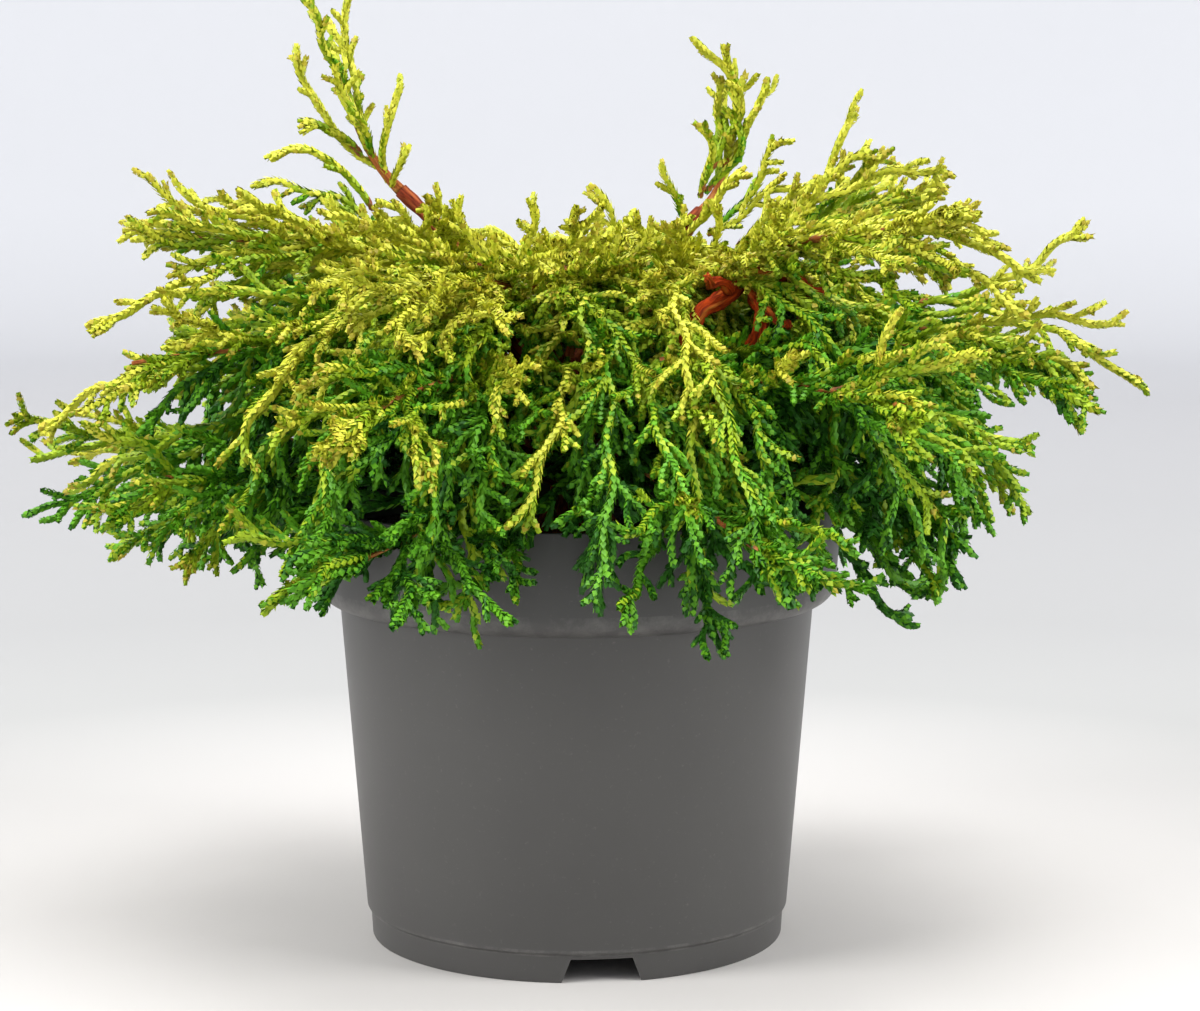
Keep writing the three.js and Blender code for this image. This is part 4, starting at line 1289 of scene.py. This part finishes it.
def core_shape():
    """A three-sided joint of the green core that shows between the leaves, 1 long and 1 in radius."""
    bm = bmesh.new()
    bmesh.ops.create_cone(bm, cap_ends=False, segments=3, radius1=1, radius2=1, depth=1)
    bmesh.ops.rotate(bm, verts=bm.verts, cent=(0, 0, 0), matrix=Matrix.Rotation(math.radians(90), 3, "Y"))
    return template(bm)


CORE_STEP = 8.0
CORE_SHARE = 0.7  # of the cord's radius
LEAF_WIDTH = 0.78  # of the cord's thickness
LEAF_STRAY, LEAF_TWIST = 0.4, 0.3  # in millimetres along the cord, and in radians round it
FIRST_LEAF, LAST_LEAF = 0.3, 0.12  # bare at the foot, in pitches, and at the tip, in leaves
PAIR_TURN, CORD_TURN = math.radians(90), math.radians(45)
CLUB_PLACE, CLUB_LENGTH, CLUB_SWELL = 2.6, 3.4, 0.3  # the club's middle is so far from the tip
CLUB_SHORTER, CLUB_CLOSER = 0.3, 0.45  # what its leaves lose of their length and their spread
FOOT_LENGTH, FOOT_WIDTH, FOOT_GROWTH = 12, 0.86, 0.14
CLOSING_LENGTH, CLOSED_LEAST, CLOSED_WIDTH, CLOSED_GROWTH = 2.0, 0.5, 0.55, 0.45
LOOK = 0.8  # how far to either side a cord's direction is taken


def along_cord(cord, at):
    """Places, directions and sheet normals at distances along a cord."""
    reach = reach_along(cord["line"])
    rows = [np.stack([np.interp(shifted, reach, column) for column in cord["line"].T], 1)
            for shifted in (at, at - LOOK, at + LOOK)]
    tangent = unit(rows[2] - rows[1])
    through = np.stack([np.interp(at, reach, column) for column in cord["through"].T], 1)
    through = unit(through - tangent * (through * tangent).sum(1, keepdims=True))
    return rows[0], tangent, through


def leaf_rows(cord, number):
    """For one cord: where its pairs stand, how they are turned, and how big their leaves are."""
    kind = dict(KINDS[cord["kind"]])
    if depth_at(cord["line"]).min() > INNER_DEPTH:
        kind.update(pitch=kind["pitch"] * INNER_LEAVES, leaf=kind["leaf"] * INNER_LEAVES)
    at = np.arange(FIRST_LEAF * kind["pitch"], cord["length"] - LAST_LEAF * kind["leaf"], kind["pitch"] / 2)
    if not len(at):
        return None
    at += chance.uniform(-LEAF_STRAY, LEAF_STRAY, len(at))
    place, tangent, through = along_cord(cord, at)
    to_tip = cord["length"] - at
    club = np.exp(-((to_tip - CLUB_PLACE) / CLUB_LENGTH) ** 2)
    closing = np.clip(to_tip / CLOSING_LENGTH, CLOSED_LEAST, 1)
    foot = FOOT_WIDTH + FOOT_GROWTH * np.clip(at / FOOT_LENGTH, 0, 1)
    thickness = kind["thickness"] * foot * (1 + CLUB_SWELL * club)
    turn = PAIR_TURN * (np.arange(len(at)) % 2) + CORD_TURN * (number % 3)
    turn += chance.uniform(-LEAF_TWIST, LEAF_TWIST, len(at))
    return dict(
        place=place, tangent=tangent, through=through, at=at, to_tip=to_tip, turn=turn,
        radius=thickness / 2 * (CLOSED_WIDTH + CLOSED_GROWTH * closing),
        leaf=kind["leaf"] * (1 - CLUB_SHORTER * club),
        spread=kind["spread"] * (1 - CLUB_CLOSER * club),
    )


# %% Cords become leaves and cores
chance = np.random.default_rng(SEED)
SPRAY_TINT, CORD_TINT, LEAF_TINT, LEADING_TINT = 0.1, 0.05, 0.05, 0.06
OCHRE_SHARE = 0.5  # of the cords, whose tips turn ochre in the sun
JOINT_LAP = 1.12
LEAF_SEAT = 0.35  # the share of a leaf that lies before its pair's place
WEEPER_TINT = 0.08  # the long cords hang free, so they see more light
SUNLIT_CORDS, SUNLIT_TINT = 6, 0.2  # the first ones of LONG_CORDS hang down the sunny front
spray_tints = {}
rows = []
core = []
for number, cord in enumerate(cords):
    row = leaf_rows(cord, number)
    if row is None:
        continue
    tint = spray_tints.setdefault(cord["spray"], chance.normal(0, SPRAY_TINT))
    is_leading = cord["kind"] == "leading"
    tint += chance.normal(0, CORD_TINT) + (LEADING_TINT if is_leading else 0)
    if cord["spray"][0] == "weeper":
        tint += WEEPER_TINT + (SUNLIT_TINT if cord["spray"][1] < SUNLIT_CORDS else 0)
    of_cord = dict(tint=tint, leading=is_leading, ochre=chance.random() < OCHRE_SHARE)
    row.update((key, np.full(len(row["at"]), same)) for key, same in of_cord.items())
    rows.append(row)
    joints = max(1, round(cord["length"] / CORE_STEP))
    step = cord["length"] / joints
    place, tangent, through = along_cord(cord, (np.arange(joints) + 0.5) * step)
    radius = KINDS[cord["kind"]]["thickness"] / 2 * CORE_SHARE
    core.append(dict(place=place, tangent=tangent, through=through, step=np.full(joints, step * JOINT_LAP),
                     radius=np.full(joints, radius), tint=np.full(joints, tint)))
rows = {key: np.concatenate([row[key] for row in rows]) for key in rows[0]}
core = {key: np.concatenate([row[key] for row in core]) for key in core[0]}


def leaf_copies(shape, rows, chosen):
    """The leaves on one side of the chosen pairs, or on the other: chosen is (pair numbers, signs)."""
    pair, sign = chosen
    tangent, through = rows["tangent"][pair], rows["through"][pair]
    beside = np.cross(tangent, through)
    turn = rows["turn"][pair][:, None]
    outward = (through * np.cos(turn) + beside * np.sin(turn)) * sign[:, None]
    across = np.cross(tangent, outward)
    radius, leaf = rows["radius"][pair][:, None], rows["leaf"][pair][:, None]
    lean = (rows["spread"][pair][:, None] - 1) * radius * outward
    axes = np.stack([tangent * leaf + lean, outward * radius, across * radius * 2 * LEAF_WIDTH], 1)
    return copies(shape, rows["place"][pair] - tangent * leaf * LEAF_SEAT, axes)


def core_copies(shape, core, chosen):
    """The chosen joints of the core."""
    tangent, through = core["tangent"][chosen], core["through"][chosen]
    beside = np.cross(tangent, through)
    radius = core["radius"][chosen][:, None]
    axes = np.stack([tangent * core["step"][chosen][:, None], through * radius, beside * radius], 1)
    return copies(shape, core["place"][chosen], axes)


# %% [markdown]
# ## Colours for the cords
#
# The finish is a living scale leaf: a thin waxy skin over green or gold. The colour of a leaf depends
# on the light where it grows, and here it also carries painted light, so each leaf takes one of a few
# plain colours by its light, with a little chance by spray, by cord and by leaf that blurs the steps
# between them. Tips in the sun turn ochre, and the oldest leaves at a spray's foot turn russet.

# %% Waxy scale leaves
def waxy_leaf(name, colour, shaded):
    """A plain leaf colour, with a second shade of it in patches about as small as a leaf."""
    material, tree, shader = new_material(name, Roughness=0.5, IOR=1.45, Specular_IOR_Level=0.3)
    patches = ranged(tree, grains(tree, on_piece(tree), 330, 2), 0.4, 0.65)
    tree.links.new(mixed(tree, patches, shaded, colour), shader.inputs["Base Color"])
    return material


# Each colour's name, lit shade, dark shade, and the light from which leaves take it.
LEAF_COLOURS = [
    ("deep_green", 0x38761A, 0x1F5010, 0.0),
    ("mid_green", 0x68A61E, 0x498614, 0.2),
    ("lime_green", 0xA2BA22, 0x7E9C18, 0.46),
    ("gold", 0xD8D446, 0xACB42C, 0.71),
]
OCHRE = ("ochre", 0xBCAE34, 0x9A8E26)
RUSSET = ("russet", 0xA0642D, 0x764422)
OCHRE_LENGTH, OCHRE_LIGHT, RUSSET_LENGTH = 3.6, 0.6, 5
CORE_SHADE = 0.12  # the core lies under the leaves, so it gets less light than they do
FACE_LIMIT = 190_000

# Leaf colours by light: the plant's own gold and green, with painted light on the crown's ends and left
# side.
light = light_at(rows["place"])
pair_count = len(rows["at"])
pair = np.repeat(np.arange(pair_count), 2)
sign = np.tile([1.0, -1.0], pair_count)
value = light[pair] + rows["tint"][pair] + chance.normal(0, LEAF_TINT, len(pair))
steps = [step for *_, step in LEAF_COLOURS]
colour = np.searchsorted(steps, value, side="right").clip(1) - 1
tip = (rows["to_tip"][pair] < OCHRE_LENGTH) & rows["ochre"][pair] & (value > OCHRE_LIGHT)
foot = rows["leading"][pair] & (rows["at"][pair] < chance.uniform(0, RUSSET_LENGTH, len(pair)))
colour[tip] = len(LEAF_COLOURS)
colour[foot] = len(LEAF_COLOURS) + 1
core_value = light_at(core["place"]) + core["tint"] - CORE_SHADE
core_colour = np.searchsorted(steps, core_value, side="right").clip(1) - 1

foliage_nodes = ["foliage_" + plan["name"] for plan in plans]
leaf, joint = leaf_shape(), core_shape()
triangles = 0
for number, (name, lit, shaded, *_) in enumerate(LEAF_COLOURS + [OCHRE, RUSSET]):
    material = waxy_leaf(f"waxy_{name}_scale_leaves", lit, shaded)
    chosen = np.flatnonzero(colour == number)
    chosen_core = np.flatnonzero(core_colour == number)
    parts = math.ceil((len(chosen) * LEAF_FACES + len(chosen_core) * JOINT_FACES) / FACE_LIMIT)
    for part, (some, some_core) in enumerate(zip(np.array_split(chosen, parts),
                                                 np.array_split(chosen_core, parts))):
        batches = [leaf_copies(leaf, rows, (pair[some], sign[some]))]
        if len(some_core):
            batches.append(core_copies(joint, core, some_core))
        mesh = joined(f"{name}_cords_{part + 1}", batches)
        place_piece(mesh.name, mesh, material, foliage_nodes)
        triangles += len(some) * LEAF_FACES + len(some_core) * JOINT_FACES
    print(name, len(chosen), "leaves in", parts, "pieces")
print("triangles in the cords:", triangles)

# %% [markdown]
# ## Trunk, boughs and stems
#
# The wood shows where the mop parts: rust-red, stringy bark on the trunk and the boughs, brighter red
# on a few old branches, and tan on the young stems. A limb is a ring of edges extruded from point to
# point along its bend. The bark's ridges are real relief: each corner moves out by noise that is long
# along the limb and narrow round it. The script also stores every corner's place on the limb as if it
# were straight, so that the bark's pattern runs along every limb without a seam.

# %% A limb with bark
FIBRE_STRETCH = 7  # bark ridges are so many times as long as they are wide


def frames_along(points):
    """Steady axes along a line: at each point a matrix that carries a flat ring there."""
    tangents = unit(np.gradient(points, axis=0))
    normal = unit(np.cross(tangents[0], UP)) if abs(tangents[0][2]) < 0.99 else np.array([1.0, 0, 0])
    frames = []
    for point, tangent in zip(points, tangents):
        normal = unit(normal - tangent * (normal @ tangent))
        beside = np.cross(tangent, normal)
        frame_rows = np.eye(4)
        frame_rows[:3] = np.stack([normal, beside, tangent, point], 1)
        frames.append(Matrix(frame_rows))
    return frames


def add_limb(bm, points, radii, sides, relief, ridge):
    """A closed limb along the points. ridge is the width of a bark ridge and relief its height."""
    straight = bm.verts.layers.float_vector["straight"]
    frames, reach = frames_along(points), reach_along(points)

    def settle(verts, ring, back):
        for vert in verts:
            local = back @ vert.co
            turn = math.atan2(local.y, local.x)
            flat = Vector((radii[ring] * math.cos(turn), radii[ring] * math.sin(turn), reach[ring]))
            fibre = Vector((flat.x / ridge, flat.y / ridge, flat.z / (ridge * FIBRE_STRETCH)))
            out = radii[ring] + relief * noise.fractal(fibre, 0.8, 2.1, 3)
            vert.co = frames[ring] @ Vector((out * math.cos(turn), out * math.sin(turn), 0))
            vert[straight] = flat * MM

    ring_verts = bmesh.ops.create_circle(bm, segments=sides, radius=1, matrix=frames[0])["verts"]
    settle(ring_verts, 0, frames[0].inverted())
    edges = list({edge for vert in ring_verts for edge in vert.link_edges})
    ends = list(edges)
    for ring in range(1, len(points)):
        made = bmesh.ops.extrude_edge_only(bm, edges=edges)["geom"]
        verts = [item for item in made if isinstance(item, bmesh.types.BMVert)]
        settle(verts, ring, frames[ring - 1].inverted())
        new = set(verts)
        edges = [item for item in made if isinstance(item, bmesh.types.BMEdge) and set(item.verts) <= new]
    bmesh.ops.holes_fill(bm, edges=ends + edges, sides=0)


# %% The trunk, the boughs and the stems
TRUNK_FLARE = (2.1, 1.5, 1.15, 1.03, 1.0)
TRUNK_FLARE_STEP, TRUNK_FLARE_FOOT = 9.0, 5  # between two of those shares, and below the soil
TRUNK_SUNK = 1  # how far the trunk's flat cut goes into the soil
BARK_FOOT, BARK_TIP = 1.25, 1.2  # how much thicker than the solid's a bough is with its bark
STEM_END, STEM_CLOTHED = 0.8, 0.16  # as shares of a stem
STEM_RADII = (2.7, 1.7, 0.9)  # at a stem's foot, where its leaves begin, and at its end
# Rings along each limb, then its sides, the bark's relief and the width of a ridge.
TRUNK_RINGS, TRUNK_BARK = 52, (44, 1.1, 3.2)
BOUGH_RINGS, BOUGH_BARK = 30, (14, 0.7, 2.0)
STEM_RINGS, STEM_BARK = 26, (9, 0.3, 1.6)
BRANCH_RINGS, BRANCH_BARK = 36, (30, 1.5, 1.0)


def trunk_radius(height):
    taper = lerp(TRUNK_RADIUS, TRUNK_TIP_RADIUS, height / TRUNK_HEIGHT)
    rings = np.arange(len(TRUNK_FLARE)) * TRUNK_FLARE_STEP - TRUNK_FLARE_FOOT
    return taper * np.interp(height, rings, TRUNK_FLARE)


def limb_mesh(name, build):
    bm = bmesh.new()
    bm.verts.layers.float_vector.new("straight")
    build(bm)
    bmesh.ops.recalc_face_normals(bm, faces=bm.faces)
    mesh = mesh_of(bm, name)
    mesh.shade_smooth()
    return mesh


def build_trunk(bm):
    heights = np.linspace(-TRUNK_SUNK, TRUNK_HEIGHT, TRUNK_RINGS)
    points = np.array([trunk_point(height) for height in heights])
    add_limb(bm, points, [trunk_radius(height) for height in heights], *TRUNK_BARK)


def build_boughs(bm):
    radii = np.linspace(BOUGH_RADIUS * BARK_FOOT, BOUGH_TIP_RADIUS * BARK_TIP, BOUGH_RINGS)
    for plan in plans:
        if plan["bough"]:
            add_limb(bm, on_bend(plan["bough"], np.linspace(0, 1, BOUGH_RINGS)), radii, *BOUGH_BARK)


def build_stems(bm):
    share = np.linspace(0, STEM_END, STEM_RINGS)
    for plan in plans:
        radii = np.interp(share, (0, plan.get("wood", STEM_CLOTHED), STEM_END), STEM_RADII)
        add_limb(bm, on_bend(plan["stem"], share), radii, *STEM_BARK)


# Old wood that shows in the right window: three branches that part from the stem of brow_6, and the
# stubs of broken ones. Each is a bend and its radii at both ends.
OLD_BRANCHES = [
    (((75, -64, 304), (62, -84, 298), (43, -90, 277)), (3.9, 2.7)),
    (((75, -64, 304), (82, -84, 296), (74, -92, 274)), (3.3, 2.4)),
    (((75, -64, 304), (90, -76, 306), (106, -82, 297)), (2.9, 2.0)),
    (((66, -78, 299), (62, -88, 302), (54, -96, 304)), (2.2, 1.6)),
    (((78, -82, 292), (86, -90, 288), (90, -98, 283)), (1.9, 1.3)),
]
CROOK = 1.3  # how far an old branch strays from its bend, in millimetres
SIDE_CROOKS, UP_CROOKS = 8, 11  # how often it does so, in radians from its start to its end


def build_old_branches(bm):
    for number, (bend, radii) in enumerate(OLD_BRANCHES):
        points = on_bend(np.array(bend, float), np.linspace(0, 1, BRANCH_RINGS))
        points[:, 0] += CROOK * np.sin(np.linspace(0, SIDE_CROOKS, BRANCH_RINGS) + 2 * number)
        points[:, 2] += CROOK * np.sin(np.linspace(0, UP_CROOKS, BRANCH_RINGS) + number)
        add_limb(bm, points, np.linspace(*radii, BRANCH_RINGS), *BRANCH_BARK)


# %% [markdown]
# Hinoki bark is thin and peels in strips along the limb. It is rust-red where a strip has just come
# off and paler where it is older, and it has no gloss. The stored straight places are squeezed along
# the limb before they reach the noise, which draws the fibres out seven times as long as they are
# wide.

# %% Stringy bark
SQUEEZE = (1, 1, 0.14)


def stringy_bark(name, dark, middle, pale, fibre):
    """fibre is the width of a bark fibre in millimetres."""
    material, tree, shader = new_material(name, Roughness=0.88, Specular_IOR_Level=0.2)
    straight = add(tree, "ShaderNodeAttribute", attribute_name="straight").outputs["Vector"]
    squeezed = add(tree, "ShaderNodeMapping", {"Vector": straight, "Scale": SQUEEZE}).outputs["Vector"]
    fibres = grains(tree, squeezed, 1000 / fibre, 4, 0.65)
    strips = grains(tree, squeezed, 300 / fibre, 3)
    red = mixed(tree, ranged(tree, fibres, 0.35, 0.62), dark, middle)
    peeled = mixed(tree, ranged(tree, strips, 0.5, 0.66), red, pale)
    tree.links.new(peeled, shader.inputs["Base Color"])
    roughen(tree, shader, fibres, 0.5 * MM)
    return material


rust = stringy_bark("rust_red_stringy_bark", 0x40160A, 0x86341A, 0xA65A32, 0.9)
tan = stringy_bark("tan_young_bark", 0x743B1C, 0xAA622F, 0xC2884E, 0.7)
fresh = stringy_bark("peeling_red_bark", 0x561402, 0xC4440C, 0xD67A30, 1.1)
bough_nodes = ["bough_" + plan["name"] for plan in plans if plan["bough"]]
for name, build, bark, nodes in (
        ("trunk_with_bark", build_trunk, rust, ["trunk"]),
        ("boughs_with_bark", build_boughs, rust, bough_nodes),
        ("stems_with_young_bark", build_stems, tan, foliage_nodes),
        ("old_branches", build_old_branches, fresh, ["foliage_brow_6"])):
    place_piece(name, limb_mesh(name, build), bark, nodes)
